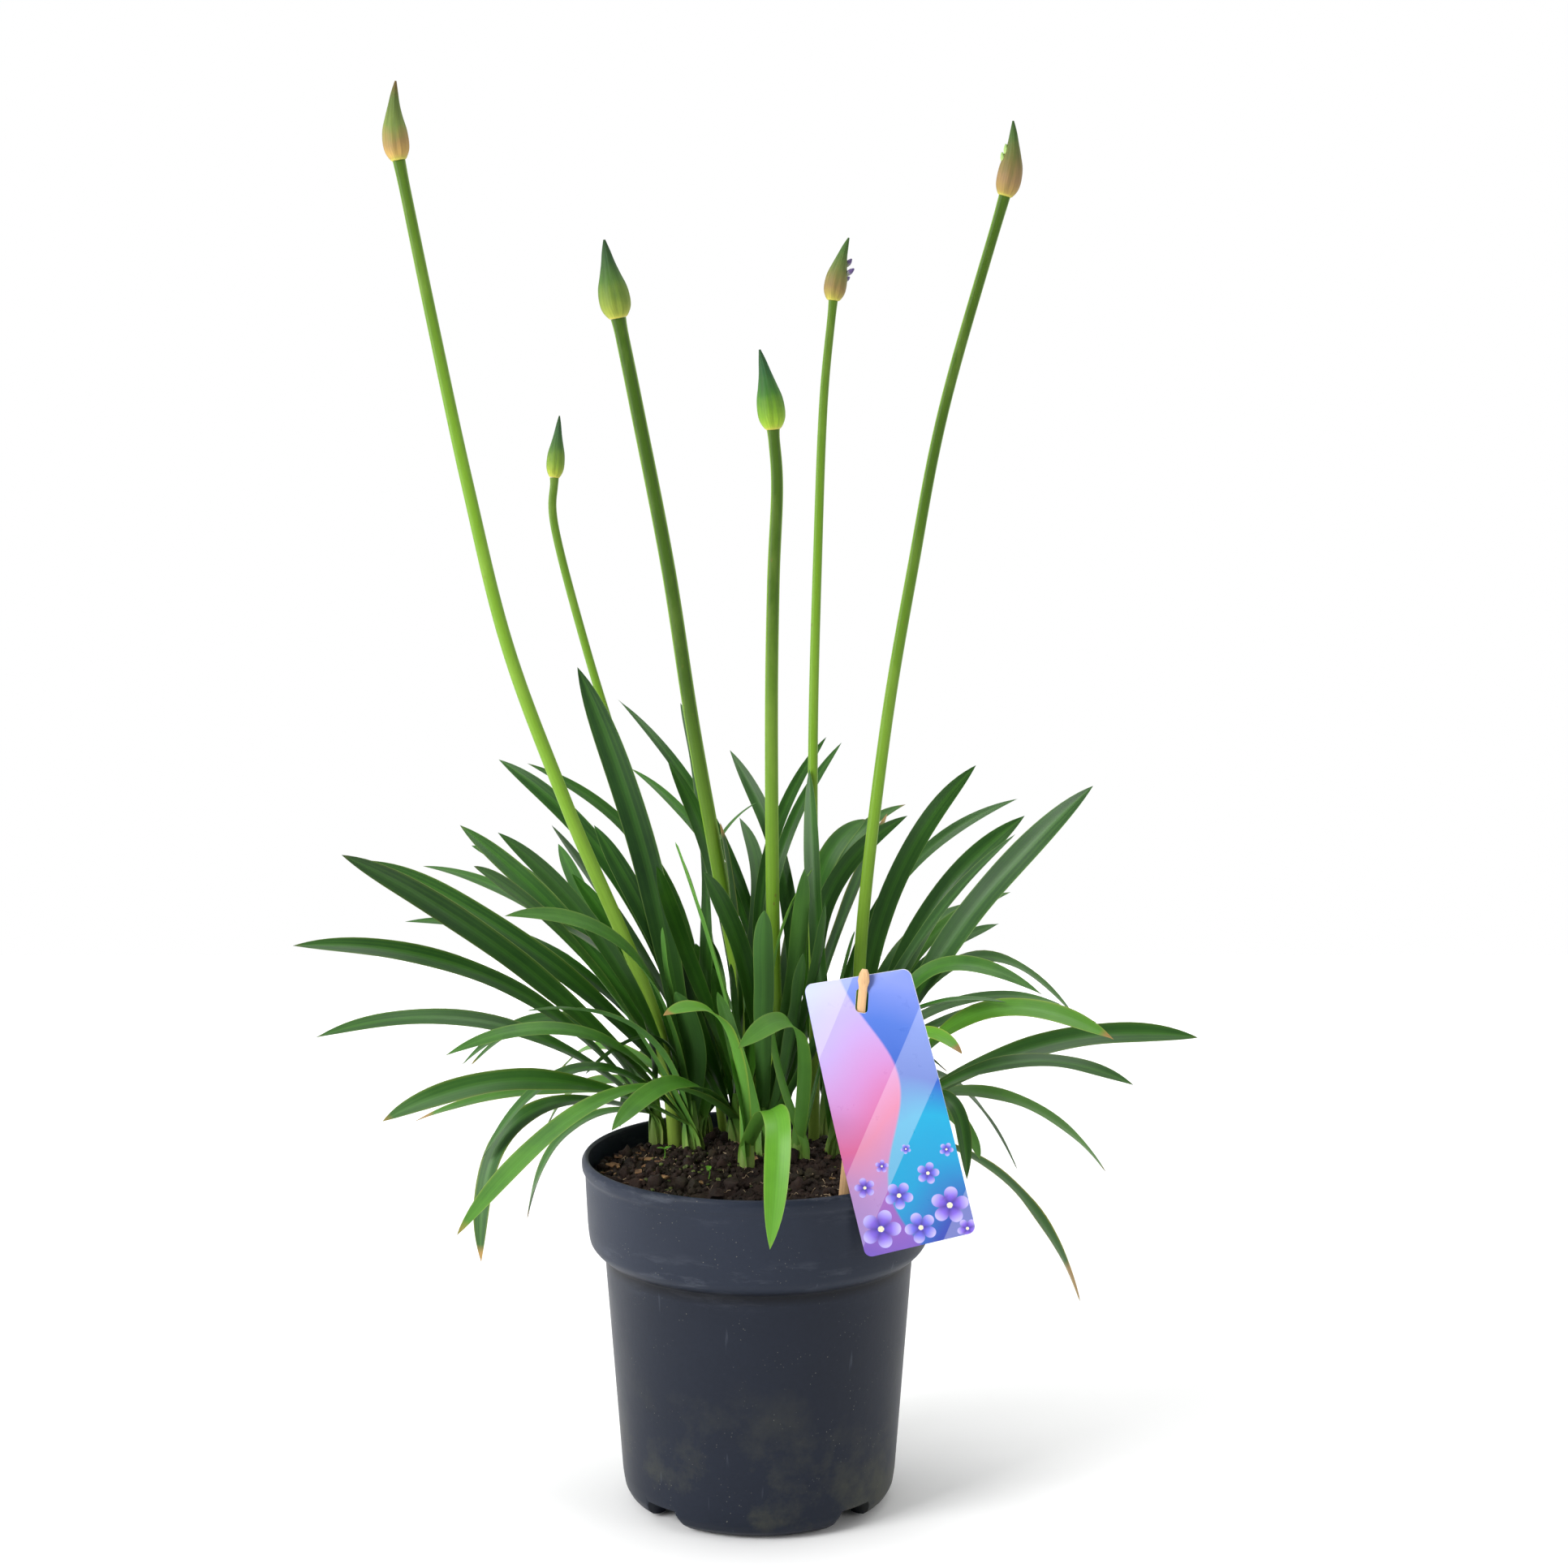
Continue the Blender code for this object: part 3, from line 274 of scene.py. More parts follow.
# The card's blossoms: across, up, radius, turn, in millimetres from its lower left corner
BLOSSOMS = [(11, 13, 10.5, 12), (31, 9, 8.5, 40), (48, 17, 10.0, 0), (24, 28, 7.5, 25),
            (8, 36, 5.5, 50), (41, 36, 6.0, 8), (54, 3, 5.5, 30), (53, 46, 3.8, 20),
            (19, 45, 3.6, 0), (33, 51, 2.8, 35)]

# The studio: lamps as name, place in metres, size, power; and how the backdrop dims to the front
LAMPS = (("key", (-1.6, -1.3, 1.5), 0.9, 38), ("fill", (1.8, -1.0, 0.8), 0.9, 8),
         ("strip", (-1.5, -0.75, 0.45), 0.7, 15), ("top", (0.1, 0.2, 2.3), 1.1, 16))
LAMP_AIM = Vector((0, 0, 0.3))
BACKDROP = {"From Min": -0.5, "From Max": 0.15, "To Min": 0.28, "To Max": 1.0}
FLOOR_LEVEL = -0.3
WHITE = (1.0, 1.0, 1.0, 1.0)


def tint(code, alpha=1.0):
    """A colour written as six hexadecimal digits, made linear."""
    parts = [int(code[place:place + 2], 16) / 255 for place in (0, 2, 4)]
    return (*[((part + 0.055) / 1.055) ** 2.4 if part > 0.04 else part / 12.92 for part in parts],
            alpha)


class PotSettings(bpy.types.PropertyGroup):
    sides: IntProperty(name="Sides", description="Steps round the pot", default=144, min=24)
    edge: FloatProperty(name="Edge", description="Rounding of the moulded edges", default=0.0006,
                        unit="LENGTH", subtype="DISTANCE")
    colour: FloatVectorProperty(name="Plastic", description="Colour of the pot's plastic", size=4,
                                default=tint("1d222d"), subtype="COLOR", min=0, max=1)


class SoilSettings(bpy.types.PropertyGroup):
    crumbs: IntProperty(name="Crumbs", description="Number of loose crumbs", default=2300, min=0)
    chips: IntProperty(name="Chips", description="Number of bark chips", default=70, min=0)
    crumb: FloatProperty(name="Crumb size", description="Radius of a middling crumb",
                         default=0.00125, unit="LENGTH", subtype="DISTANCE")
    colour: FloatVectorProperty(name="Peat", description="Colour of moist peat", size=4,
                                default=tint("211712"), subtype="COLOR", min=0, max=1)


class LeafSettings(bpy.types.PropertyGroup):
    stations: IntProperty(name="Stations", description="Sections along a blade", default=30, min=8)
    wave: FloatProperty(name="Wave", description="How far a blade's edges wave", default=0.0004,
                        unit="LENGTH", subtype="DISTANCE")
    dark: FloatVectorProperty(name="Dark green", description="The darkest blades", size=4,
                              default=tint("11300f"), subtype="COLOR", min=0, max=1)
    middle: FloatVectorProperty(name="Green", description="The common blades", size=4,
                                default=tint("2b5a16"), subtype="COLOR", min=0, max=1)
    light: FloatVectorProperty(name="Light green", description="The youngest blades", size=4,
                               default=tint("5c9626"), subtype="COLOR", min=0, max=1)


class StemSettings(bpy.types.PropertyGroup):
    sides: IntProperty(name="Sides", description="Steps round a flower stem", default=20, min=8)
    groove: FloatProperty(name="Groove", description="Depth of the channel, as a share of radius",
                          default=0.12, min=0, max=0.4)
    colour: FloatVectorProperty(name="Stem", description="Colour of a stem's middle length",
                                size=4, default=tint("6d9426"), subtype="COLOR", min=0, max=1)


class LabelSettings(bpy.types.PropertyGroup):
    cuts: IntProperty(name="Cuts", description="Sections up the card", default=44, min=4)
    bamboo: FloatVectorProperty(name="Bamboo", description="Colour of the stick", size=4,
                                default=tint("d2aa7c"), subtype="COLOR", min=0, max=1)


class StageSettings(bpy.types.PropertyGroup):
    floor: FloatProperty(name="Floor", description="Half the floor's width", default=1.5,
                         unit="LENGTH", subtype="DISTANCE")
    light: FloatProperty(name="Light", description="Strength of the soft lamps", default=1.0)


class AgapanthusSettings(bpy.types.PropertyGroup):
    pot: PointerProperty(type=PotSettings)
    soil: PointerProperty(type=SoilSettings)
    leaf: PointerProperty(type=LeafSettings)
    stem: PointerProperty(type=StemSettings)
    label: PointerProperty(type=LabelSettings)
    stage: PointerProperty(type=StageSettings)


class Finish:
    """A procedural material: a Principled shader and the nodes that feed it."""

    def __init__(self, name, roughness=0.5, **constants):
        self.material = bpy.data.materials.new(name)
        self.material.use_nodes = True
        self.tree = self.material.node_tree
        self.shader = self.tree.nodes["Principled BSDF"]
        self.shader.inputs["Roughness"].default_value = roughness
        for socket, value in constants.items():
            self.shader.inputs[socket.replace("_", " ")].default_value = value

    def feed(self, socket, value):
        if isinstance(value, bpy.types.NodeSocket):
            self.tree.links.new(value, socket)
        else:
            socket.default_value = value

    def add(self, kind, inputs=None, **settings):
        made = self.tree.nodes.new("ShaderNode" + kind)
        for name, value in settings.items():
            setattr(made, name, value)
        for key, value in (inputs or {}).items():
            self.feed(made.inputs[key], value)
        return made

    def place(self, scale=(1, 1, 1)):
        """Object coordinates, stretched by a scale for each axis."""
        source = self.add("TexCoord").outputs["Object"]
        return self.add("Mapping", {"Vector": source, "Scale": scale}).outputs["Vector"]

    def uv(self):
        """The two coordinates that run over a surface."""
        source = self.add("UVMap", uv_map="UVMap").outputs["UV"]
        split = self.add("SeparateXYZ", {"Vector": source})
        return split.outputs["X"], split.outputs["Y"]

    def stretched(self, across, along, scale):
        """Coordinates over a surface, stretched for a pattern that follows it."""
        joined = self.add("CombineXYZ", {"X": self.times(across, scale[0]),
                                         "Y": self.times(along, scale[1])})
        return joined.outputs["Vector"]

    def traits(self):
        """The three values that a loft keeps on its vertices."""
        source = self.add("Attribute", attribute_name="blade").outputs["Color"]
        split = self.add("SeparateColor", {"Color": source})
        return [split.outputs[part] for part in ("Red", "Green", "Blue")]

    def noise(self, vector, scale, detail=4.0, rough=0.55):
        return self.add("TexNoise", {"Vector": vector, "Scale": scale, "Detail": detail,
                                     "Roughness": rough}).outputs["Fac"]

    def grains(self, vector, scale):
        """Distance to the nearest of a scatter of points."""
        return self.add("TexVoronoi", {"Vector": vector, "Scale": scale}).outputs["Distance"]

    def math(self, operation, first, second=0.0, clamp=False):
        made = self.add("Math", {0: first, 1: second}, operation=operation, use_clamp=clamp)
        return made.outputs["Value"]

    def times(self, first, second):
        return self.math("MULTIPLY", first, second)

    def plus(self, first, second, clamp=False):
        return self.math("ADD", first, second, clamp)

    def minus(self, first, second, clamp=False):
        return self.math("SUBTRACT", first, second, clamp)

    def span(self, value, low, high, start=0.0, end=1.0):
        """Map a range of a value onto another, held at its ends."""
        made = self.add("MapRange", {"Value": value, "From Min": low, "From Max": high,
                                     "To Min": start, "To Max": end}, clamp=True)
        return made.outputs["Result"]

    def ramp(self, factor, stops):
        made = self.add("ValToRGB", {"Fac": factor})
        elements = made.color_ramp.elements
        while len(elements) < len(stops):
            elements.new(0.5)
        for element, (position, colour) in zip(elements, stops):
            element.position = position
            element.color = tint(colour) if isinstance(colour, str) else colour
        return made.outputs["Color"]

    def mix(self, factor, first, second, blend="MIX"):
        first = tint(first) if isinstance(first, str) else first
        second = tint(second) if isinstance(second, str) else second
        made = self.add("Mix", {0: factor, 6: first, 7: second}, data_type="RGBA",
                        blend_type=blend)
        return made.outputs[2]

    def shade(self, colour, factor, low, high):
        """Darken or lighten a colour by a factor that runs from low to high."""
        level = self.span(factor, 0.0, 1.0, low, high)
        grey = self.add("CombineColor", {"Red": level, "Green": level, "Blue": level})
        return self.mix(1.0, colour, grey.outputs["Color"], "MULTIPLY")

    def bump(self, height, distance, strength=1.0, normal=None):
        inputs = {"Height": height, "Distance": distance, "Strength": strength}
        if normal is not None:
            inputs["Normal"] = normal
        return self.add("Bump", inputs).outputs["Normal"]

    def surface(self, colour, roughness=None, normal=None):
        self.feed(self.shader.inputs["Base Color"], colour)
        if roughness is not None:
            self.feed(self.shader.inputs["Roughness"], roughness)
        if normal is not None:
            self.feed(self.shader.inputs["Normal"], normal)
        return self.material


def close_mesh(name, bm, surfaces, smooth=40, recalculate=True):
    """Close a bmesh in millimetres into a named object in metres, at the origin."""
    if recalculate:
        bmesh.ops.remove_doubles(bm, verts=bm.verts, dist=0.0001)
        bmesh.ops.recalc_face_normals(bm, faces=bm.faces)
    bmesh.ops.scale(bm, vec=(MM, MM, MM), verts=bm.verts)
    mesh = bpy.data.meshes.new(name)
    bm.to_mesh(mesh)
    bm.free()
    for surface in surfaces:
        mesh.materials.append(surface)
    mesh.shade_smooth()
    mesh.set_sharp_from_angle(angle=math.radians(smooth))
    made = bpy.data.objects.new(name, mesh)
    bpy.context.scene.collection.objects.link(made)
    return made


def settle(piece, slot, *nodes):
    """Fix a finished piece to the model, in place of its nodes."""
    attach(piece, "root")
    if nodes:
        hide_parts(*nodes)
    return piece


def cut_away(target, cutters):
    """Cut a group of objects out of a piece in one applied Boolean, and remove them."""
    group = bpy.data.collections.new("cutters")
    bpy.context.scene.collection.children.link(group)
    for cutter in cutters:
        bpy.context.scene.collection.objects.unlink(cutter)
        group.objects.link(cutter)
    cut = target.modifiers.new("cut", "BOOLEAN")
    cut.operand_type = "COLLECTION"
    cut.collection = group
    cut.operation = "DIFFERENCE"
    cut.solver = "EXACT"
    apply_modifiers(target)
    for cutter in cutters:
        bpy.data.objects.remove(cutter)
    bpy.data.collections.remove(group)


def apply_modifiers(target):
    """Replace a piece's mesh by what its modifiers make of it."""
    bpy.context.view_layer.update()
    graph = bpy.context.evaluated_depsgraph_get()
    result = bpy.data.meshes.new_from_object(target.evaluated_get(graph))
    target.modifiers.clear()
    target.data = result


def softened(section):
    """Round a section's inner corners: each gives way to three points on a short curve."""
    rounded = [section[0]]
    for before, corner, after in zip(section, section[1:], section[2:]):
        here = Vector(corner)
        back, ahead = Vector(before) - here, Vector(after) - here
        start = here + back.normalized() * min(CORNER_REACH, back.length * CORNER_SHARE)
        end = here + ahead.normalized() * min(CORNER_REACH, ahead.length * CORNER_SHARE)
        rounded += [tuple(start), tuple((start + end + here * 2) / 4), tuple(end)]
    return rounded + [section[-1]]


def turned(section, sides):
    """Spin a section about the upright axis into a closed bmesh."""
    bm = bmesh.new()
    verts = [bm.verts.new((radius, 0, height)) for radius, height in section]
    edges = [bm.edges.new(pair) for pair in zip(verts, verts[1:])]
    bmesh.ops.spin(bm, geom=verts + edges, cent=(0, 0, 0), axis=(0, 0, 1), angle=math.tau,
                   steps=sides, use_merge=True)
    bmesh.ops.remove_doubles(bm, verts=bm.verts, dist=0.001)
    return bm


def between(ends, share):
    """The value a share of the way from the first end to the second."""
    return ends[0] + (ends[1] - ends[0]) * share


def sight(across, height, depth):
    """A place read on the ruler at the pot's axis, carried along the line of sight to its depth."""
    reach = 1 + depth / -EYE.y
    return Vector((EYE.x + (across - EYE.x) * reach, depth, EYE.z + (height - EYE.z) * reach))


def slid(place, amount):
    """A place moved back or forward along its own line of sight."""
    reach = 1 + amount / (place.y - EYE.y)
    return EYE + (place - EYE) * reach


def smooth_path(points, stations):
    """Even stations along a Catmull-Rom curve through the points."""
    ends = [points[0] * 2 - points[1]] + points + [points[-1] * 2 - points[-2]]
    path = []
    for station in range(stations + 1):
        along = station / stations * (len(points) - 1)
        piece = min(int(along), len(points) - 2)
        t = along - piece
        p0, p1, p2, p3 = ends[piece:piece + 4]
        bend = (p1 * 2 + (p2 - p0) * t + (p0 * 2 - p1 * 5 + p2 * 4 - p3) * t ** 2
                + (p1 * 3 - p0 - p2 * 3 + p3) * t ** 3)
        path.append(bend * 0.5)
    return path


def loft(bm, sections, chart, traits=None, span=(0.0, 1.0)):
    """Bridge closed sections of points into a tube, and record where each corner lies on it.

    chart holds (u, v) for each vertex, with u given for each point of a section. traits, if
    given, holds a value for each point and is kept on the vertices for the finish to read.
    """
    charts = bm.loops.layers.uv
    layer = charts.get("UVMap") or charts.new("UVMap")
    stores = bm.verts.layers.float_color
    store = (stores.get("blade") or stores.new("blade")) if traits else None
    rings = []
    for section in sections:
        rings.append([bm.verts.new(point) for point in section])
    count = len(rings[0])
    rows = len(rings) - 1
    for row, (lower, upper) in enumerate(zip(rings, rings[1:])):
        for side in range(count):
            after = (side + 1) % count
            face = bm.faces.new((lower[side], lower[after], upper[after], upper[side]))
            wide = chart[side], chart[side + 1]
            low = span[0] + (span[1] - span[0]) * row / rows
            high = span[0] + (span[1] - span[0]) * (row + 1) / rows
            corners = ((wide[0], low), (wide[1], low), (wide[1], high), (wide[0], high))
            for loop, corner in zip(face.loops, corners):
                loop[layer].uv = corner
    for ring, level in ((rings[0], span[0]), (rings[-1], span[1])):
        face = bm.faces.new(reversed(ring) if ring is rings[0] else ring)
        for loop in face.loops:
            loop[layer].uv = (0.5, level)
    if traits:
        for ring in rings:
            for vert, value in zip(ring, traits):
                vert[store] = value
    return rings


def round_sections(points, radii, sides, outline=None, start=None):
    """Sections round a path; outline gives each angle's share of the radius."""
    sections = []
    reference = start or Vector((1, 0, 0))
    for index, (point, radius) in enumerate(zip(points, radii)):
        ahead = points[min(index + 1, len(points) - 1)] - points[max(index - 1, 0)]
        ahead.normalize()
        across = (reference - ahead * reference.dot(ahead)).normalized()
        other = ahead.cross(across)
        section = []
        for side in range(sides):
            angle = math.tau * side / sides
            share = outline(angle, index / (len(points) - 1)) if outline else 1.0
            offset = across * math.cos(angle) + other * math.sin(angle)
            section.append(point + offset * radius * share)
        sections.append(section)
    return sections


def even_chart(sides):
    """The share of the way round at each step of a closed ring."""
    return [side / sides for side in range(sides + 1)]


def soil_height(x, y):
    """The soil's own surface: a low heap with lumps and finer crumbs."""
    share = min(1.0, math.hypot(x, y) / SOIL_REACH)
    coarse, fine = SOIL_LUMP_SIZES
    lump = noise.noise(Vector((x, y, 0)) / coarse) + 0.6 * noise.noise(Vector((y, x, 40)) / fine)
    height = SOIL_EDGE + SOIL_HEAP * (1 - share ** 2) + SOIL_LUMP * lump * (1 - share ** 8)
    spot = Vector((x, y, 11.0))
    rough = sum(rise * noise.noise(spot / size) for rise, size in SOIL_RELIEF)
    return height + rough * (1 - share ** 10)


class AGAPANTHUS_OT_pot(bpy.types.Operator):
    """Turn the nursery pot, cut the notches through its foot and round its moulded edges"""
    bl_idname = "agapanthus.pot"
    bl_label = "Pot"

    def execute(self, context):
        settings = context.scene.agapanthus.pot
        plastic = pot_finish(settings)
        pot = close_mesh("nursery_pot", turned(softened(POT_SECTION), settings.sides), [plastic])
        notches = []
        for number in range(NOTCH_COUNT):
            bm = bmesh.new()
            bmesh.ops.create_cube(bm, size=1.0)
            for vert in bm.verts:
                high = vert.co.z > 0
                width = NOTCH_WIDTH_HIGH if high else NOTCH_WIDTH_LOW
                height = NOTCH_HEIGHT if high else NOTCH_START
                vert.co = (NOTCH_RADIUS + NOTCH_DEPTH * vert.co.x, width * vert.co.y, height)
            heading = math.radians(NOTCH_HEADING + 360 / NOTCH_COUNT * number)
            bmesh.ops.rotate(bm, verts=bm.verts, matrix=Matrix.Rotation(heading, 3, "Z"))
            notches.append(close_mesh(f"notch_{number}", bm, [plastic]))
        cut_away(pot, notches)
        edge = pot.modifiers.new("moulded edges", "BEVEL")
        edge.width = settings.edge
        edge.segments = 2
        edge.limit_method = "ANGLE"
        edge.angle_limit = EDGE_ANGLE
        edge.use_clamp_overlap = True
        apply_modifiers(pot)
        pot.data.shade_smooth()
        pot.data.set_sharp_from_angle(angle=POT_SHARP_ANGLE)
        settle(pot, "pot", "pot")
        return {"FINISHED"}


def pot_finish(settings):
    """Matt dark plastic with pale specks, rubbed edges, and a little green near the foot."""
    finish = Finish("worn pot plastic", 0.45, Specular_IOR_Level=0.13)
    place = finish.place()
    height = finish.add("SeparateXYZ", {"Vector": finish.add("TexCoord").outputs["Object"]})
    height = height.outputs["Z"]
    cloud = finish.noise(place, 9.0, 6.0, 0.6)
    colour = finish.shade(tuple(settings.colour), cloud, 0.72, 1.28)
    fine = finish.noise(place, 420.0, 3.0, 0.7)
    colour = finish.shade(colour, fine, 0.86, 1.14)
    # Painted light: the collar is painted a little paler and bluer than the body, for the light it
    # catches
    colour = finish.mix(finish.span(height, COLLAR_START, COLLAR_FULL, 0.0, 0.05), colour, "66728c")
    # Greenish and brownish film near the foot and in patches up the wall
    low = finish.span(height, 0.0, 0.1, 1.0, 0.0)
    patch = finish.span(finish.noise(place, 22.0, 6.0, 0.65), 0.5, 0.72)
    film = finish.times(finish.times(low, patch), 0.5)
    colour = finish.mix(film, colour, "5a5a44")
    # Pale rubbed bands under the lip and on the shoulder
    smear = finish.span(finish.noise(finish.place((1, 1, 5)), 26.0, 8.0, 0.7), 0.52, 0.8)
    band = finish.math("ABSOLUTE", finish.span(height, 0.126, 0.16, -1.0, 1.0))
    collar = finish.minus(1.0, band, clamp=True)
    lip = finish.span(height, 0.172, 0.19, 0.0, 1.0)
    rubbed = finish.times(finish.math("MAXIMUM", collar, lip), smear)
    colour = finish.mix(finish.times(rubbed, 0.6), colour, "6b707a")
    # Thin scratches and fine pale specks
    hair = finish.noise(finish.place((1, 1, 0.12)), 210.0, 2.0, 0.4)
    scratch = finish.span(hair, 0.72, 0.78, 0.0, 0.28)
    colour = finish.mix(scratch, colour, "575d69")
    dots = finish.span(finish.grains(place, 420.0), 0.05, 0.13, 1.0, 0.0)
    few = finish.span(finish.noise(place, 60.0, 3.0), 0.5, 0.64)
    speck = finish.times(finish.times(dots, few), 0.55)
    colour = finish.mix(speck, colour, "8d8a7c")
    # Painted shade: a dark line in the corner under the shoulder, where shadow falls
    corner = finish.math("ABSOLUTE", finish.minus(height, POT_CORNER))
    colour = finish.mix(finish.span(corner, 0.0008, 0.0055, 0.7, 0.0), colour, "0b0b0e")
    roughness = finish.span(finish.plus(cloud, rubbed), 0.3, 1.1, 0.36, 0.6)
    normal = finish.bump(fine, 0.00012, 0.35)
    normal = finish.bump(finish.noise(place, 60.0, 3.0), 0.0004, 0.25, normal)
    return finish.surface(colour, roughness, normal)


class AGAPANTHUS_OT_soil(bpy.types.Operator):
    """Fill the pot with peat, lay crumbs, bark, roots and moss on it and set two seedlings"""
    bl_idname = "agapanthus.soil"
    bl_label = "Soil"

    def execute(self, context):
        settings = context.scene.agapanthus.soil
        edge = SOIL_SECTION[-1][0]
        rings = [(edge - edge * number / SOIL_RINGS, SOIL_EDGE + 1)
                 for number in range(1, SOIL_RINGS)]
        bm = turned(SOIL_SECTION + rings + [(0, SOIL_EDGE + 1)], SOIL_SIDES)
        for vert in bm.verts:
            if vert.co.z > SOIL_EDGE + 0.5:
                vert.co.z = soil_height(vert.co.x, vert.co.y)
        peat = peat_finish(settings)
        settle(close_mesh("peat", bm, [peat], smooth=70), "soil", "soil")
        draw = random.Random(SOIL_SEED)
        # Blender seeds its vector noise, which shapes the chips, from the clock unless told a seed
        noise.seed_set(SOIL_SEED)
        self.scatter_crumbs(settings, draw, peat)
        self.scatter_chips(settings, draw)
        self.lay_roots(draw)
        self.lay_moss(draw)
        for number, (x, y, heading) in enumerate(SEEDLINGS):
            self.set_seedling(number, x, y, heading)
        return {"FINISHED"}

    def open_place(self, draw, reach=87.0):
        """A place on the soil, taken evenly over the disc."""
        radius, angle = reach * math.sqrt(draw.random()), math.tau * draw.random()
        return radius * math.cos(angle), radius * math.sin(angle)

    def patch_place(self, draw, patch):
        """A place taken evenly over an upright rectangle on the soil."""
        return [middle + width * (draw.random() - 0.5) for middle, width in patch]

    def scatter_crumbs(self, settings, draw, peat):
        """Irregular crumbs of peat, half sunk, in two sizes."""
        bm = bmesh.new()
        middling = settings.crumb / MM
        for number in range(settings.crumbs):
            x, y = self.open_place(draw)
            size = middling * (0.5 + 1.1 * draw.random() ** 2)
            clod = number % CLOD_EVERY == 0
            if clod:
                size *= CLOD_GROWTH[0] + CLOD_GROWTH[1] * (number % 4)
            made = bmesh.ops.create_icosphere(bm, subdivisions=2 if clod else 1, radius=size)
            squash = Vector([0.7 + 0.6 * draw.random() for axis in range(3)])
            turn = Matrix.Rotation(math.tau * draw.random(), 3, "Z")
            shift = Vector((x, y, soil_height(x, y) + size * 0.25))
            offset = Vector((x, y, number)) * 3.7
            for vert in made["verts"]:
                vert.co *= 1 + 0.5 * noise.noise(vert.co / size * 1.3 + offset)
                vert.co = turn @ (vert.co * squash) + shift
        settle(close_mesh("peat_crumbs", bm, [peat], smooth=50, recalculate=False), "soil")

    def scatter_chips(self, settings, draw):
        """Thin split chips of bark, most of them at the front left."""
        bm = bmesh.new()
        for number in range(settings.chips):
            x, y = self.open_place(draw, 84.0)
            if number % 2:
                x, y = self.patch_place(draw, CHIP_PATCH)
            before = len(bm.verts)
            made = bmesh.ops.create_cube(bm, size=1.0)
            long_side = 2.6 + 4.6 * draw.random()
            size = Vector((long_side, long_side * (0.3 + 0.35 * draw.random()), 0.7))
            bmesh.ops.scale(bm, vec=size, verts=made["verts"])
            edges = {edge for vert in made["verts"] for edge in vert.link_edges}
            bmesh.ops.subdivide_edges(bm, edges=list(edges), cuts=2, use_grid_fill=True)
            bm.verts.ensure_lookup_table()
            verts = bm.verts[before:]
            lean = Matrix.Rotation(math.radians(34 * draw.random() - 17), 3, "X")
            turn = Matrix.Rotation(math.tau * draw.random(), 3, "Z") @ lean
            shift = Vector((x, y, soil_height(x, y) + 0.7))
            offset = Vector((number, number, 0)) * 5.3
            for vert in verts:
                vert.co += noise.noise_vector(vert.co / 1.6 + offset) * 0.42
                vert.co = turn @ vert.co + shift
        settle(close_mesh("bark_chips", bm, [bark_finish()], 40, False), "soil")

    def lay_roots(self, draw):
        """Fine pale roots and short fibres that lie on the peat."""
        bm = bmesh.new()
        for number in range(ROOT_COUNT):
            x, y = self.open_place(draw, 82.0)
            heading = math.tau * draw.random()
            stride = 2.3 if number % ROOT_EVERY == 0 else 0.55 + 0.5 * draw.random()
            points = []
            for step in range(6):
                points.append(Vector((x, y, soil_height(x, y) + 0.35 + 0.5 * draw.random())))
                heading += 1.3 * (draw.random() - 0.5)
                x += stride * math.cos(heading)
                y += stride * math.sin(heading)
            path = smooth_path(points, ROOT_STATIONS)
            radii = [ROOT_RADIUS * (1 - 0.6 * step / ROOT_STATIONS)
                     for step in range(ROOT_STATIONS + 1)]
            loft(bm, round_sections(path, radii, 5, start=Vector((0, 0, 1))), even_chart(5))
        settle(close_mesh("fine_roots", bm, [root_finish()], 60), "soil")

    def lay_moss(self, draw):
        """Low cushions of moss between the crumbs."""
        bm = bmesh.new()
        for number in range(MOSS_COUNT):
            x, y = self.open_place(draw, 82.0)
            if number % 3:
                x, y = self.patch_place(draw, MOSS_PATCH)
            size = 0.55 + 1.0 * draw.random()
            made = bmesh.ops.create_icosphere(bm, subdivisions=1, radius=size)
            shift = Vector((x, y, soil_height(x, y) + 0.5))
            for vert in made["verts"]:
                vert.co *= 1 + 0.7 * noise.noise(vert.co * 1.9 + shift)
                vert.co.z *= 0.7
                vert.co += shift
        settle(close_mesh("moss", bm, [moss_finish()], 60, False), "soil")

    def set_seedling(self, number, x, y, heading):
        """A seedling with two round leaves on a thread of a stem."""
        bm = bmesh.new()
        foot = Vector((x, y, soil_height(x, y) - 0.5))
        head = foot + SEEDLING_RISE
        path = smooth_path([foot, foot.lerp(head, 0.5) + Vector((0.4, 0, 0)), head], 8)
        loft(bm, round_sections(path, [0.3] * 9, 8), even_chart(8), [(0.9, 0.3, 0.0, 1.0)] * 8)
        for side in (0, 150):
            turn = math.radians(heading + side)
            out = Vector((math.cos(turn), math.sin(turn), 0.35)).normalized()
            wide = out.cross(Vector((0, 0, 1))).normalized()
            up = wide.cross(out)
            sections = []
            for step in range(9):
                share = step / 8
                bulge = math.sin(math.pi * min(0.97, 0.06 + share * 0.92)) ** 0.7
                half = SEEDLING_HALF_WIDTH * bulge
                centre = head + out * SEEDLING_LEAF * share - up * 0.7 * share ** 2
                sections.append([centre + wide * half * across + up * (0.18 * level + lift)
                                 for across, level, lift in
                                 ((1, 0, 0.3 * half), (0.5, 1, 0.1), (0, 1, 0), (-0.5, 1, 0.1),
                                  (-1, 0, 0.3 * half), (-0.5, -1, 0.1), (0, -1, 0),
                                  (0.5, -1, 0.1))])
            loft(bm, sections, [1, 0.75, 0.5, 0.25, 0, 0.25, 0.5, 0.75, 1],
                 [(0.9, 0.0, 0.0, 1.0)] * 8, (0.5, 0.9))
        settings = bpy.context.scene.agapanthus.leaf
        settle(close_mesh(f"seedling_{number + 1}", bm, [leaf_finish(settings)], 70), "leaf")


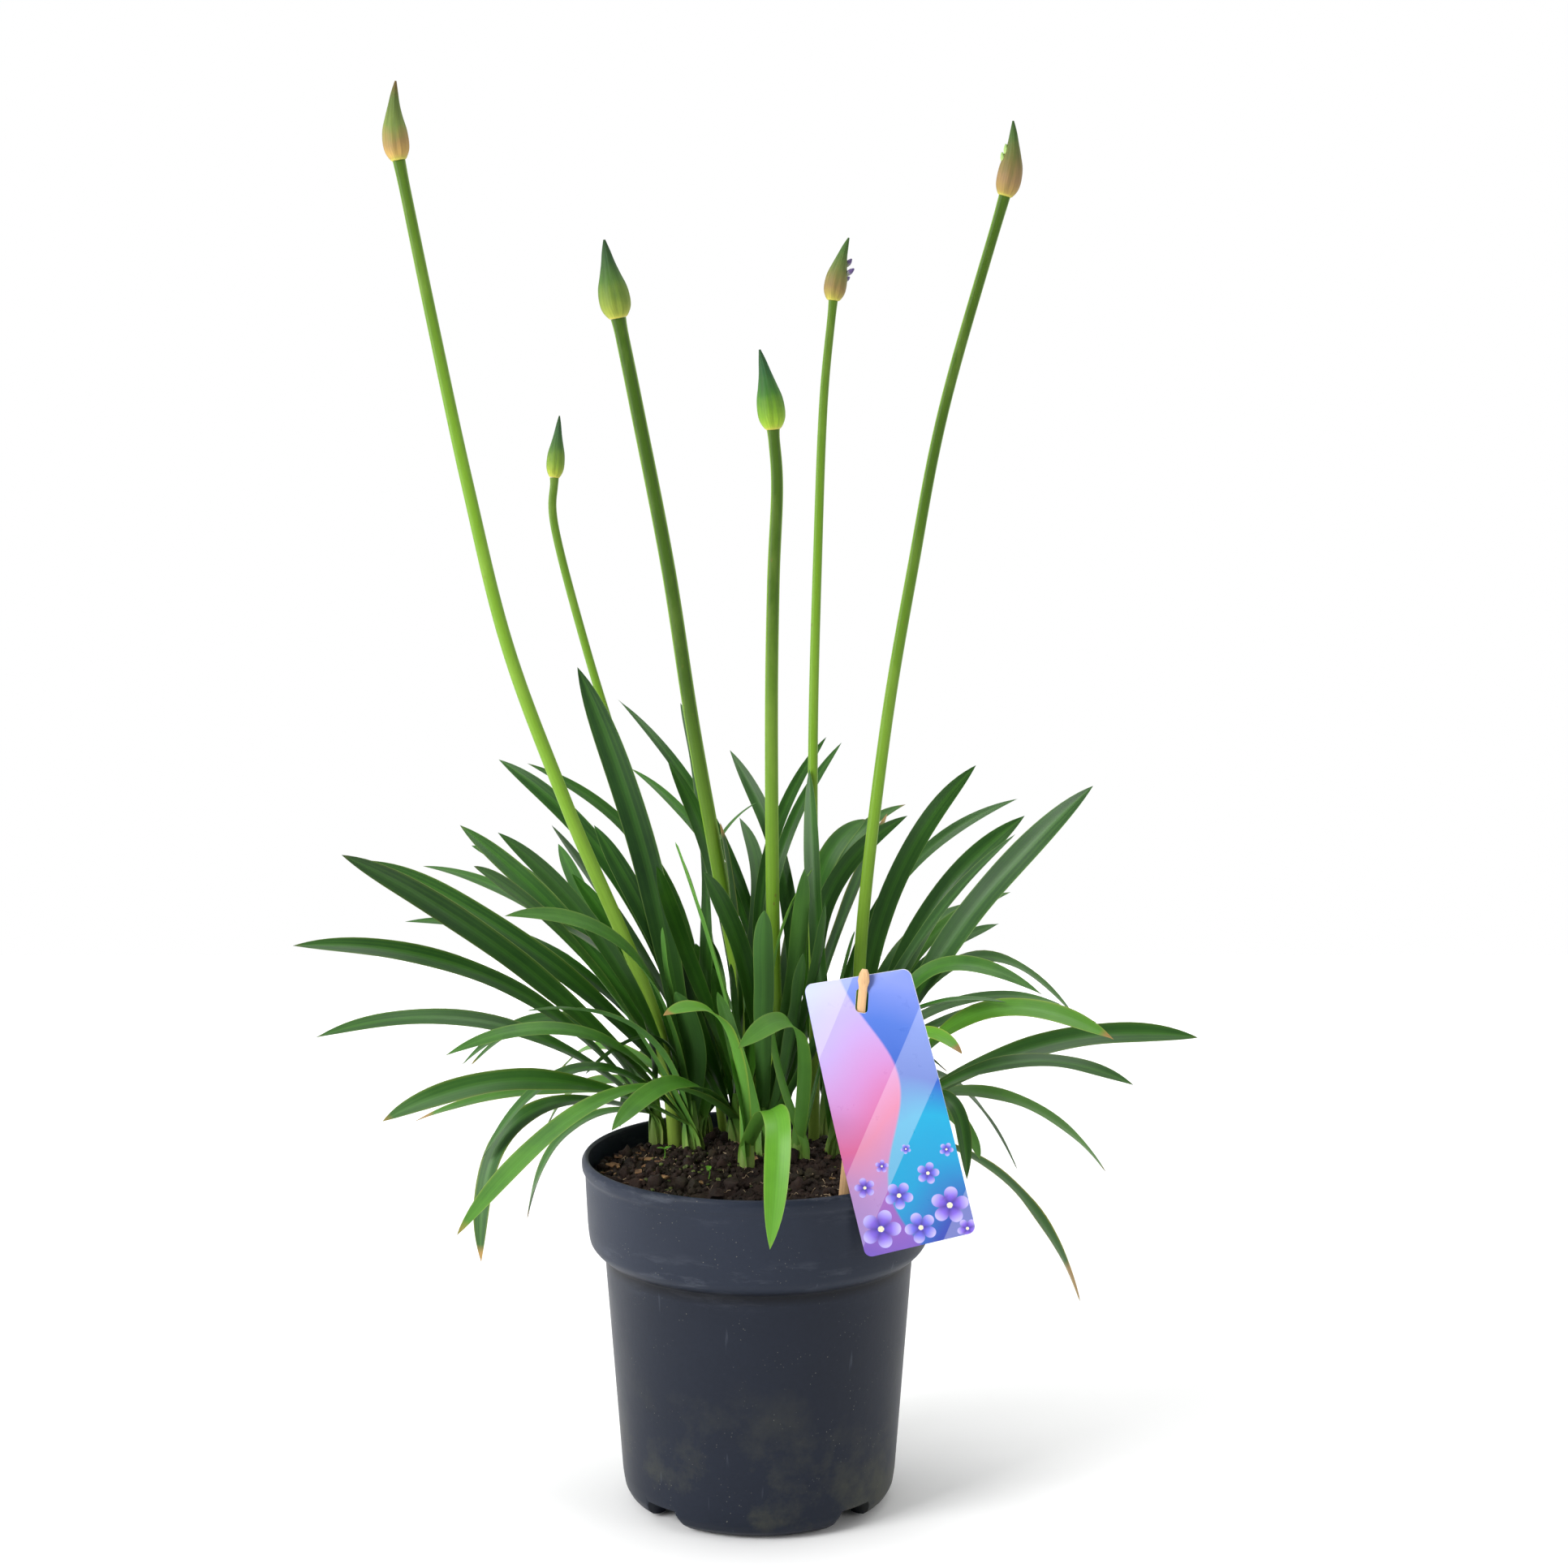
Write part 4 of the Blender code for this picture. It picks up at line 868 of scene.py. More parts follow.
def peat_finish(settings):
    """Moist dark peat with redder and paler fibres and a fine broken surface."""
    finish = Finish("moist peat", 0.9, Specular_IOR_Level=0.25)
    place = finish.place()
    lumps = finish.noise(place, 140.0, 8.0, 0.7)
    colour = finish.shade(tuple(settings.colour), finish.span(lumps, 0.3, 0.7), 0.15, 2.3)
    red = finish.span(finish.noise(place, 75.0, 5.0, 0.6), 0.46, 0.68)
    colour = finish.mix(finish.times(red, 0.6), colour, "33211a")
    fibre = finish.span(finish.noise(finish.place((1, 3, 2)), 380.0, 4.0, 0.7), 0.62, 0.76)
    colour = finish.mix(finish.times(fibre, 0.4), colour, "6b5138")
    green = finish.span(finish.noise(place, 38.0, 4.0), 0.52, 0.7, 0.0, 0.55)
    colour = finish.mix(green, colour, "2b2c17")
    wet = finish.span(finish.noise(place, 210.0, 3.0), 0.35, 0.65, 0.98, 0.62)
    normal = finish.bump(lumps, 0.0016, 0.9)
    normal = finish.bump(finish.noise(place, 900.0, 3.0, 0.7), 0.0004, 0.8, normal)
    return finish.surface(colour, wet, normal)


def bark_finish():
    """Split bark: tan to red-brown, with a grain."""
    finish = Finish("bark chip", 0.85)
    place = finish.place()
    colour = finish.ramp(finish.noise(place, 65.0, 3.0, 0.6), [
        (0.28, "3a281b"), (0.42, "5c4029"), (0.55, "8c6743"), (0.68, "b8935f")])
    grain = finish.noise(finish.place((1, 4, 4)), 300.0, 5.0, 0.7)
    colour = finish.shade(colour, grain, 0.45, 1.4)
    return finish.surface(colour, None, finish.bump(grain, 0.0005, 0.8))


def root_finish():
    """Pale dry roots."""
    finish = Finish("fine root", 0.75)
    colour = finish.ramp(finish.noise(finish.place(), 160.0, 3.0), [
        (0.3, "6f5a42"), (0.55, "a89274"), (0.75, "cfbf9f")])
    return finish.surface(colour)


def moss_finish():
    """Damp moss."""
    finish = Finish("moss", 0.95)
    place = finish.place()
    colour = finish.ramp(finish.noise(place, 220.0, 5.0, 0.7), [
        (0.3, "2c3318"), (0.5, "4a5526"), (0.7, "77803c")])
    return finish.surface(colour, None, finish.bump(finish.noise(place, 1500.0, 3.0), 0.0005))


def leaf_rows():
    """Every leaf's row, with its places made real: the listed ones, the back and the heart."""
    rows = []
    for bend, tip, *traits in LEAVES:
        rows.append((sight(*bend), sight(*tip), *traits))
    draw = random.Random(BACK_SEED)
    looks = random.Random(BACK_SEED + 1)
    for number in range(BACK_COUNT):
        heading = math.radians(between(BACK_HEADINGS, (number + 0.5) / BACK_COUNT))
        layer = (number * 2 % BACK_LAYERS) / (BACK_LAYERS - 1)
        reach = between(BACK_REACH, 1 - 0.8 * draw.random())
        height = between(BACK_TIP_HEIGHT, layer)
        tip = Vector((math.cos(heading) * reach, math.sin(heading) * reach, height))
        bend = Vector((tip.x * BACK_BEND[0], tip.y * BACK_BEND[1],
                       (LEAF_START + height) / 2 + between(BACK_ARCH, layer)))
        width = between(BACK_WIDTH, draw.random())
        rows.append((bend, tip, width, BACK_ROLL * (2 * draw.random() - 1),
                     0.2 + 0.45 * looks.random(), 0.5 * looks.random() ** 3))
    middle_x, middle_y = HEART_MIDDLE
    for number in range(HEART_COUNT):
        heading = math.tau * (number + 0.3) / HEART_COUNT
        reach = between(HEART_REACH, draw.random())
        tip = Vector((middle_x + math.cos(heading) * reach,
                      middle_y + math.sin(heading) * reach * 0.7,
                      between(HEART_TIP_HEIGHT, draw.random())))
        bend = Vector((tip.x * 0.8, middle_y + (tip.y - middle_y) * 0.7,
                       between((LEAF_START, tip.z), 0.6)))
        rows.append((bend, tip, between(HEART_WIDTH, draw.random()), 0,
                     0.3 + 0.4 * looks.random(), 0.0))
    return rows


def grown_leaves():
    """The leaves that stand in the model: each one's shoot and its places, found by its tip."""
    corners = []
    for shoot in SHOOTS:
        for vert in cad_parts[f"shoot_{shoot}"].data.vertices:
            corners.append((shoot, vert.co / MM))
    tree = KDTree(len(corners))
    for index, (shoot, corner) in enumerate(corners):
        tree.insert(corner, index)
    tree.balance()
    grown = {shoot: [] for shoot in SHOOTS}
    for bend, tip, *looks in leaf_rows():
        best = (TIP_MATCH, None, 0.0)
        for step in range(1 - SIDE_STEPS, SIDE_STEPS):
            slide = step * SIDE_STEP
            index, distance = tree.find(slid(tip, slide))[1:]
            if distance < best[0]:
                best = (distance, corners[index][0], slide)
        shoot, slide = best[1:]
        if shoot:
            foot = Vector((*SHOOTS[shoot], LEAF_START))
            run = Vector((tip.x - foot.x, tip.y - foot.y, 0)).normalized()
            root = foot + run * LEAF_OFFSET
            grown[shoot].append((root, slid(bend, slide * 0.5), slid(tip, slide), *looks))
    return grown


def blade_section(centre, across, up, half, thick, channel, lift):
    """A channelled section with rounded edges and a keel below its midrib."""
    section = []
    for share, face in BLADE_SECTION:
        dish = channel * half * abs(share) ** 1.5
        wall = thick * (1 - abs(share) ** 3)
        if face > 0:
            level = dish + wall * 0.35 - 0.12 * thick * math.exp(-(share / 0.14) ** 2)
        elif face < 0:
            level = dish - wall * 0.75 - 0.2 * thick * math.exp(-(share / 0.2) ** 2)
        else:
            level = dish
        section.append(centre + across * half * share + up * (level + lift * share))
    return section


def grow_blade(bm, row, seed, settings):
    """One leaf: its clasping base in the sleeve, and its blade out to the tip."""
    root, bend, tip, width, roll, light, weathered = row
    first, second = (bend - root).length, (tip - bend).length
    t = first / (first + second)
    control = (bend - root * (1 - t) ** 2 - tip * t ** 2) / (2 * t * (1 - t))
    run = Vector((tip.x - root.x, tip.y - root.y, 0)).normalized()
    level = Vector((run.y, -run.x, 0))
    turn = math.radians(roll if run.x > 0 else -roll)
    wave = settings.wave / MM
    sections = []
    foot = Vector((root.x - run.x * CLASP_INSET, root.y - run.y * CLASP_INSET,
                   SLEEVE_FOOT + CLASP_START))
    lead = (control - root).normalized()
    knee = root - lead * KNEE_REACH
    knee.z = max(knee.z, SLEEVE_FOOT + KNEE_START)
    for station in range(CLASP_STATIONS):
        share = station / CLASP_STATIONS
        centre = foot.lerp(knee, share).lerp(knee.lerp(root, share), share)
        ahead = ((knee - foot) * (1 - share) + (root - knee) * share).normalized()
        across = (level - ahead * level.dot(ahead)).normalized()
        half = width / 2 * LEAF_FOOT_SHARE * (1 - 0.12 * (1 - share))
        channel = LEAF_CHANNEL + 0.06 + 0.5 * (1 - share)
        sections.append(blade_section(centre, across, across.cross(ahead), half,
                                      CLASP_THICKNESS, channel, 0))
    stations = settings.stations
    for station in range(stations):
        t = 1 - (1 - station / stations) ** TIP_CROWDING
        centre = root.lerp(control, t).lerp(control.lerp(tip, t), t)
        ahead = ((control - root) * (1 - t) + (tip - control) * t).normalized()
        lean = Matrix.Rotation(turn * min(1.0, ROLL_RATE * t), 3, ahead)
        across = lean @ (level - ahead * level.dot(ahead)).normalized()
        if t < 0.5:
            share = LEAF_FOOT_SHARE + (1 - LEAF_FOOT_SHARE) * t / 0.5
        else:
            share = max(0.0, 1 - ((t - 0.5) / 0.5) ** LEAF_TIP_POWER)
        half = width / 2 * max(share, LEAF_TIP_SHARE)
        thick = LEAF_THICKNESS * (0.55 + 0.45 * share) / 2
        drift = noise.noise(Vector((seed * 3.1, t * 3.5, 0.0))) * wave * 2
        lift = noise.noise(Vector((seed * 1.7, t * 5.0, 9.0))) * wave * 2.5 * min(1.0, 2 * t)
        up = across.cross(ahead)
        sections.append(blade_section(centre + across * drift * share, across, up, half, thick,
                                      LEAF_CHANNEL + 0.06 * (1 - t), lift))
    chart = [(share + 1) / 2 for share, face in BLADE_SECTION]
    traits = [(light, (1 - face) / 2, weathered, 1.0) for share, face in BLADE_SECTION]
    rings = loft(bm, sections, chart + chart[:1], traits)
    end = bmesh.ops.extrude_face_region(bm, geom=[face for face in rings[-1][0].link_faces
                                                  if len(face.verts) == len(rings[-1])])
    ends = [part for part in end["geom"] if isinstance(part, bmesh.types.BMVert)]
    bmesh.ops.pointmerge(bm, verts=ends, merge_co=tip)


class AGAPANTHUS_OT_leaves(bpy.types.Operator):
    """Grow each shoot: a sleeve of leaf bases and its strap leaves, with channel, keel and veins"""
    bl_idname = "agapanthus.leaves"
    bl_label = "Leaves"

    def execute(self, context):
        settings = context.scene.agapanthus.leaf
        surface = leaf_finish(settings)
        seed = 0
        for shoot, rows in grown_leaves().items():
            bm = bmesh.new()
            x, y = SHOOTS[shoot]
            wide, deep = SLEEVE_SIZE
            heights = [SLEEVE_FOOT + (SLEEVE_TOP - SLEEVE_FOOT) * step / SLEEVE_STATIONS
                       for step in range(SLEEVE_STATIONS + 1)]
            radii = [wide * (0.62 if height < SLEEVE_WAIST else
                             0.62 - 0.4 * (height - SLEEVE_WAIST) / (SLEEVE_TOP - SLEEVE_WAIST))
                     for height in heights]
            points = [Vector((x, y, height)) for height in heights]

            def oval(angle, along):
                return math.hypot(math.cos(angle), math.sin(angle) * deep / wide)
            loft(bm, round_sections(points, radii, SLEEVE_SIDES, oval), even_chart(SLEEVE_SIDES),
                 [(0.8, 0.5, 0.2, 1.0)] * SLEEVE_SIDES, (0.0, 0.14))
            for row in rows:
                seed += 1
                grow_blade(bm, row, seed, settings)
            piece = close_mesh(f"leaves_{shoot}", bm, [surface], smooth=75)
            settle(piece, "leaf", f"shoot_{shoot}")
        if seed < len(LEAVES) // 2:
            raise RuntimeError("most leaves were not found in the model")
        return {"FINISHED"}


def leaf_finish(settings):
    """A strap leaf: dark to light green by blade, veined, with pale edges and base."""
    finish = Finish("strap leaf", 0.42, Specular_IOR_Level=0.3)
    across, along = finish.uv()
    light, under, weathered = finish.traits()
    place = finish.place()
    cloud = finish.noise(place, 28.0, 5.0, 0.6)
    patchy = finish.plus(light, finish.span(cloud, 0.3, 0.7, -0.1, 0.1), clamp=True)
    colour = finish.ramp(patchy, [(0.0, tuple(settings.dark)), (0.5, tuple(settings.middle)),
                                  (0.95, tuple(settings.light))])
    # The blade is lighter towards its base and along its midrib
    colour = finish.mix(finish.span(along, 0.12, 0.55, 0.5, 0.0), colour, "47801f")
    centre = finish.math("ABSOLUTE", finish.minus(across, 0.5))
    rib = finish.span(centre, 0.0, 0.16, 0.22, 0.0)
    colour = finish.mix(rib, colour, "4f8a2c")
    # Fine parallel veins
    veins = finish.noise(finish.stretched(across, along, (38.0, 0.5)), 1.0, 1.0, 0.5)
    colour = finish.shade(colour, veins, 0.76, 1.24)
    streak = finish.noise(finish.stretched(across, along, (9.0, 0.8)), 1.0, 1.0, 0.5)
    colour = finish.mix(finish.span(streak, 0.5, 0.75, 0.0, 0.16), colour, "5f922f")
    # Thin pale edges, and greyer undersides
    edge = finish.span(centre, 0.46, 0.497, 0.0, 0.5)
    colour = finish.mix(edge, colour, "86a552")
    colour = finish.mix(finish.times(under, 0.3), colour, "4f7440")
    # Pale clasping base
    pale = finish.ramp(along, [(0.0, "b5b28a"), (0.05, "95a45c"), (0.12, "6b9138"),
                               (0.2, "4f8226")])
    colour = finish.mix(finish.span(along, 0.05, 0.26, 0.85, 0.0), colour, pale)
    # Yellow and brown where a blade has aged
    reach = finish.minus(1.0, finish.times(weathered, 0.14))
    worn = finish.math("DIVIDE", finish.minus(along, reach), 0.03, clamp=True)
    worn = finish.times(worn, finish.span(weathered, 0.05, 0.3))
    colour = finish.mix(worn, colour, "93743a")
    yellow = finish.times(finish.span(centre, 0.38, 0.5), weathered)
    colour = finish.mix(finish.times(yellow, 0.6), colour, "b5a93c")
    roughness = finish.span(finish.plus(cloud, under), 0.2, 1.6, 0.34, 0.6)
    normal = finish.bump(veins, 0.00006, 0.4)
    return finish.surface(colour, roughness, normal)


def scape_form(name):
    """A flower stem's path and radii, at fine stations."""
    points, foot_radius, top_radius = SCAPES[name]
    path = smooth_path([sight(*point) for point in points], FINE_STATIONS)
    radii = []
    for station in range(FINE_STATIONS + 1):
        share = station / FINE_STATIONS
        flare = 1 + FLARE * max(0.0, (share - FLARE_START) / FLARE_LENGTH) ** 2
        radii.append((foot_radius + (top_radius - foot_radius) * share ** 0.8) * flare)
    return path, radii


class AGAPANTHUS_OT_stems(bpy.types.Operator):
    """Draw the six flower stems, with a shallow channel up each side"""
    bl_idname = "agapanthus.stems"
    bl_label = "Flower stems"

    def execute(self, context):
        settings = context.scene.agapanthus.stem
        surface = stem_finish(settings)

        def channelled(angle, along):
            front = math.cos(angle + math.pi / 2)
            groove = settings.groove * math.exp(-((1 - abs(front)) / 0.16) ** 2)
            return (1 - groove * min(1.0, 0.3 + along)) * (0.97 + 0.03 * math.cos(2 * angle))
        for name in SCAPES:
            bm = bmesh.new()
            path, radii = scape_form(name)
            sections = round_sections(path, radii, settings.sides, channelled)
            loft(bm, sections, even_chart(settings.sides),
                 [(*CHANNEL_SHADE[name], 0.0, 1.0)] * settings.sides)
            piece = close_mesh(f"flower_stem_{name}", bm, [surface], smooth=80)
            settle(piece, "stem", f"scape_{name}")
        return {"FINISHED"}


def stem_finish(settings):
    """A smooth green stem: painted shade up its channels leaves it darker there and paler at its
    edges, with brown specks.
    """
    finish = Finish("flower stem", 0.45, Specular_IOR_Level=0.22)
    around, along = finish.uv()
    deep, early = finish.traits()[:2]
    place = finish.place()
    fibres = finish.noise(finish.stretched(around, along, (48.0, 1.6)), 1.0, 1.0, 0.5)
    colour = finish.ramp(along, [(0.0, "8fa24c"), (0.16, "7da236"), (0.35, tuple(settings.colour)),
                                 (0.7, "658c22"), (1.0, "62842a")])
    # Painted shade up the channels: distance from the nearer channel, at a quarter and three
    # quarters of the way round
    turn = finish.times(around, math.tau * 2)
    wide = finish.math("COSINE", turn)
    channel = finish.span(wide, 0.1, 0.8, 1.0, 0.0)
    rise = finish.math("DIVIDE", finish.minus(along, early), 0.3, clamp=True)
    high = finish.times(rise, deep)
    colour = finish.mix(finish.times(channel, high), colour, "34500f")
    colour = finish.shade(colour, fibres, 0.78, 1.24)
    blotch = finish.span(finish.noise(finish.place((1, 1, 0.3)), 70.0, 5.0, 0.6), 0.5, 0.75)
    colour = finish.mix(finish.times(blotch, 0.22), colour, "93a94e")
    dots = finish.span(finish.grains(finish.place((1, 1, 0.5)), 190.0), 0.06, 0.13, 0.8, 0.0)
    rare = finish.span(finish.noise(place, 33.0, 3.0), 0.56, 0.66)
    colour = finish.mix(finish.times(dots, rare), colour, "6b5a2c")
    roughness = finish.span(blotch, 0.0, 1.0, 0.38, 0.55)
    return finish.surface(colour, roughness, finish.bump(fibres, 0.0002, 0.4))


class AGAPANTHUS_OT_buds(bpy.types.Operator):
    """Form the six closed buds: a ridged papery spathe with a beak, and florets in its split"""
    bl_idname = "agapanthus.buds"
    bl_label = "Buds"

    def execute(self, context):
        profile = smooth_path([Vector((share, width, 0)) for share, width in BUD_PROFILE],
                              BUD_STATIONS)
        girths = smooth_path([Vector((girth, 0, 0)) for girth in FLORET_GIRTHS], FLORET_STATIONS)
        for name, (tip_place, belly, colours) in BUDS.items():
            path, radii = scape_form(name)
            out = (path[-1] - path[-7]).normalized()
            foot = path[-1] + out * 0.1
            tip = sight(*tip_place, SCAPES[name][0][-1][2])
            knee = foot + out * (tip - foot).length * 0.5
            centre, widths = [], []
            for station in profile:
                share = min(1.0, max(0.0, station.x))
                centre.append(foot.lerp(knee, share).lerp(knee.lerp(tip, share), share))
                widths.append(belly * max(station.y, 0.05))
            widths[0] = max(widths[0], radii[-1] * 1.06)

            def ridged(angle, along):
                ridge = 0.022 * math.cos(angle * 11 + 3 * along)
                overlap = 0.05 * math.exp(-((angle - 5.3 + 0.5 * along) / 0.16) ** 2)
                crease = 0.07 * math.exp(-((angle - 5.0 + 0.5 * along) / 0.1) ** 2)
                collar = 0.05 * math.exp(-((along - 0.035) / 0.03) ** 2)
                return 1 + (ridge + overlap - crease) * min(1.0, 5 * along) + collar
            bm = bmesh.new()
            loft(bm, round_sections(centre, widths, BUD_SIDES, ridged), even_chart(BUD_SIDES))
            for share, heading, lean, size in FLORETS.get(name, []):
                turn, tilt = math.radians(heading), math.radians(lean)
                way = Vector((math.cos(turn) * math.sin(tilt), math.sin(turn) * math.sin(tilt),
                              math.cos(tilt)))
                start = foot.lerp(tip, share) + way * belly * 0.35
                points = [start + way * size * step / FLORET_STATIONS
                          for step in range(FLORET_STATIONS + 1)]
                radii = [FLORET_RADIUS * girth.x for girth in girths]
                faces = set(bm.faces)
                loft(bm, round_sections(points, radii, FLORET_SIDES), even_chart(FLORET_SIDES))
                for face in set(bm.faces) - faces:
                    face.material_index = 1
            surfaces = [spathe_finish(name, colours)]
            if name in FLORETS:
                surfaces.append(floret_finish(name))
            piece = close_mesh(f"flower_bud_{name}", bm, surfaces, smooth=60)
            settle(piece, "spathe", f"bud_{name}")
        return {"FINISHED"}


def spathe_finish(name, colours):
    """A papery spathe: its own colours from foot to beak, with fine lengthwise streaks."""
    finish = Finish(f"spathe {name}", 0.55, Specular_IOR_Level=0.2)
    around, along = finish.uv()
    place = finish.place()
    cloud = finish.span(finish.noise(place, 90.0, 4.0), 0.3, 0.7, -0.06, 0.06)
    uneven = finish.plus(along, cloud)
    stops = (0.0, 0.16, 0.34, 0.56, 0.8, 0.98)
    colour = finish.ramp(uneven, list(zip(stops, colours)))
    streaks = finish.noise(finish.stretched(around, along, (44.0, 1.3)), 1.0, 2.0, 0.6)
    colour = finish.shade(colour, streaks, 0.62, 1.38)
    darker = finish.span(finish.noise(finish.stretched(around, along, (16.0, 1.6)), 1.0, 2.0),
                         0.5, 0.7, 0.0, 0.4)
    colour = finish.mix(darker, colour, "33491f")
    collar = finish.span(along, 0.03, 0.08, 0.75, 0.0)
    colour = finish.mix(collar, colour, "bdb552")
    return finish.surface(colour, None, finish.bump(streaks, 0.0004, 0.5))


def floret_finish(name):
    """Unopened florets: one bud's are tipped with purple, the other's are pale green."""
    finish = Finish(f"floret {name}", 0.45)
    around, along = finish.uv()
    colour = finish.ramp(along, list(zip((0.0, 0.4, 0.7, 1.0), FLORET_COLOURS[name])))
    fibres = finish.noise(finish.stretched(around, along, (20.0, 3.0)), 1.0, 3.0)
    return finish.surface(finish.shade(colour, fibres, 0.75, 1.25))


class AGAPANTHUS_OT_label(bpy.types.Operator):
    """Make the plant label: a thin bowed card with a slot, and its bamboo stick"""
    bl_idname = "agapanthus.label"
    bl_label = "Label"

    def execute(self, context):
        settings = context.scene.agapanthus.label
        self.make_card(settings)
        self.make_stick(settings)
        return {"FINISHED"}

    def make_card(self, settings):
        width, height, thickness = CARD_SIZE
        bm = bmesh.new()
        bmesh.ops.create_cube(bm, size=1.0)
        bmesh.ops.scale(bm, vec=(width, thickness, height), verts=bm.verts)
        corners = [edge for edge in bm.edges
                   if abs(edge.verts[0].co.y - edge.verts[1].co.y) > thickness / 2]
        bmesh.ops.bevel(bm, geom=corners, offset=CARD_CORNER, segments=8, profile=0.5,
                        affect="EDGES", material=-1)
        surfaces = [card_face_finish(), card_back_finish()]
        card = close_mesh("plant_label", bm, surfaces)
        slot = bmesh.new()
        bmesh.ops.create_cube(slot, size=1.0)
        bmesh.ops.scale(slot, vec=(SLOT_SIZE[0], SLOT_CUT, SLOT_SIZE[1]), verts=slot.verts)
        upright = [edge for edge in slot.edges
                   if abs(edge.verts[0].co.y - edge.verts[1].co.y) > SLOT_CUT / 2]
        bmesh.ops.bevel(slot, geom=upright, offset=SLOT_CORNER, segments=5, profile=0.5,
                        affect="EDGES", material=-1)
        lean = Matrix.Rotation(math.radians(SLOT_LEAN), 3, "Y")
        bmesh.ops.rotate(slot, verts=slot.verts, matrix=lean)
        bmesh.ops.translate(slot, vec=(0, 0, height / 2 - SLOT_DROP), verts=slot.verts)
        cut_away(card, [close_mesh("slot", slot, surfaces[:1])])
        bm = bmesh.new()
        bm.from_mesh(card.data)
        bmesh.ops.scale(bm, vec=(1 / MM,) * 3, verts=bm.verts)
        for number in range(1, settings.cuts):
            level = height * (number / settings.cuts - 0.5)
            bmesh.ops.bisect_plane(bm, geom=bm.verts[:] + bm.edges[:] + bm.faces[:],
                                   plane_co=(0, 0, level), plane_no=(0, 0, 1))
        bm.normal_update()
        layer = bm.loops.layers.uv.new("UVMap")
        for face in bm.faces:
            face.material_index = 0 if face.normal.y < -0.5 else 1
            for loop in face.loops:
                loop[layer].uv = (loop.vert.co.x / width + 0.5, loop.vert.co.z / height + 0.5)
        tilt = Matrix.Rotation(math.radians(CARD_TILT), 3, "Y")
        for vert in bm.verts:
            drop = height / 2 - vert.co.z
            turn = math.radians(CARD_TURN) * max(0.0, 1 - drop / (height * CARD_TURN_SHARE))
            bow = CARD_BOW * max(0.0, CARD_BOW_LENGTH - drop) ** 2
            across, out = vert.co.x, vert.co.y
            vert.co.x = across * math.cos(turn) - out * math.sin(turn)
            vert.co.y = across * math.sin(turn) + out * math.cos(turn) + bow
            vert.co = tilt @ vert.co + CARD_MIDDLE
        bmesh.ops.scale(bm, vec=(MM,) * 3, verts=bm.verts)
        bm.to_mesh(card.data)
        bm.free()
        card.data.shade_smooth()
        card.data.set_sharp_from_angle(angle=math.radians(40))
        settle(card, "card", "label_card")

    def make_stick(self, settings):
        """The flat bamboo stick, from the soil to its head in front of the card's slot."""
        along = STICK_HEAD - STICK_FOOT
        turn = math.radians(STICK_TURN)
        level = Vector((math.cos(turn), math.sin(turn), 0))
        across = (level - along.normalized() * level.dot(along.normalized())).normalized()
        out = along.cross(across).normalized()
        sections = []
        for share, width, thickness in STICK_FORM:
            centre = STICK_FOOT + along * share
            sections.append([centre + across * width / 2 * x + out * thickness / 2 * y
                             for x, y in STICK_CORNERS])
        bm = bmesh.new()
        loft(bm, sections, even_chart(len(STICK_CORNERS)))
        settle(close_mesh("bamboo_stick", bm, [bamboo_finish(settings)], 35), "bamboo",
               "label_stick")


def card_face_finish():
    """The printed face: broad soft bands of colour, and simple round-petalled blossoms."""
    finish = Finish("printed card", 0.35, Specular_IOR_Level=0.3)
    width, height = CARD_SIZE[:2]
    across, up = finish.uv()
    x = finish.times(across, width)
    y = finish.times(up, height)
    sway = finish.math("SINE", finish.plus(finish.times(across, 4.4), finish.times(up, 3.0)))
    band = finish.plus(up, finish.times(sway, 0.07))
    left = finish.ramp(band, [(0.02, "6f55b4"), (0.3, "9c62b0"), (0.46, "c8608f"),
                              (0.62, "bd82bd"), (0.8, "ad9bd2"), (0.98, "98a2da")])
    right = finish.ramp(band, [(0.02, "3548a8"), (0.22, "1a93c4"), (0.4, "159cc6"),
                               (0.56, "2c58b4"), (0.78, "4a6cc0"), (0.98, "7384cc")])
    wave = finish.times(finish.math("SINE", finish.times(up, 7.5)), 0.16)
    edge = finish.minus(finish.plus(across, wave), 0.5)
    colour = finish.mix(finish.span(edge, -0.012, 0.012), left, right)
    haze = finish.math("SINE", finish.plus(finish.times(across, -5.0), finish.times(up, 9.0)))
    colour = finish.mix(finish.span(haze, 0.35, 0.38, 0.0, 0.13), colour, "ffffff")
    for number, (at_x, at_y, radius, turn) in enumerate(BLOSSOMS):
        beside = finish.minus(x, at_x)
        above = finish.minus(y, at_y)
        distance = finish.math("SQRT", finish.plus(finish.times(beside, beside),
                                                   finish.times(above, above)))
        angle = finish.plus(finish.math("ARCTAN2", above, beside), math.radians(turn))
        petal = finish.math("ABSOLUTE", finish.math("COSINE", finish.times(angle, 2.5)))
        reach = finish.span(finish.math("POWER", petal, 0.55), 0.0, 1.0, radius * 0.45, radius)
        inside = finish.math("DIVIDE", finish.minus(reach, distance), 0.35, clamp=True)
        depth = finish.math("DIVIDE", distance, radius, clamp=True)
        outer = "6a68d2" if number % 2 else "7a5ecb"
        bloom = finish.ramp(depth, [(0.0, "f3e9b8"), (0.13, "efe6c8"), (0.17, "4a3aa6"),
                                    (0.5, outer), (0.92, "b1a8ee")])
        bloom = finish.shade(bloom, petal, 0.72, 1.12)
        colour = finish.mix(inside, colour, bloom)
    wear = finish.span(finish.noise(finish.place(), 120.0, 4.0), 0.3, 0.7, 0.26, 0.4)
    return finish.surface(colour, wear)


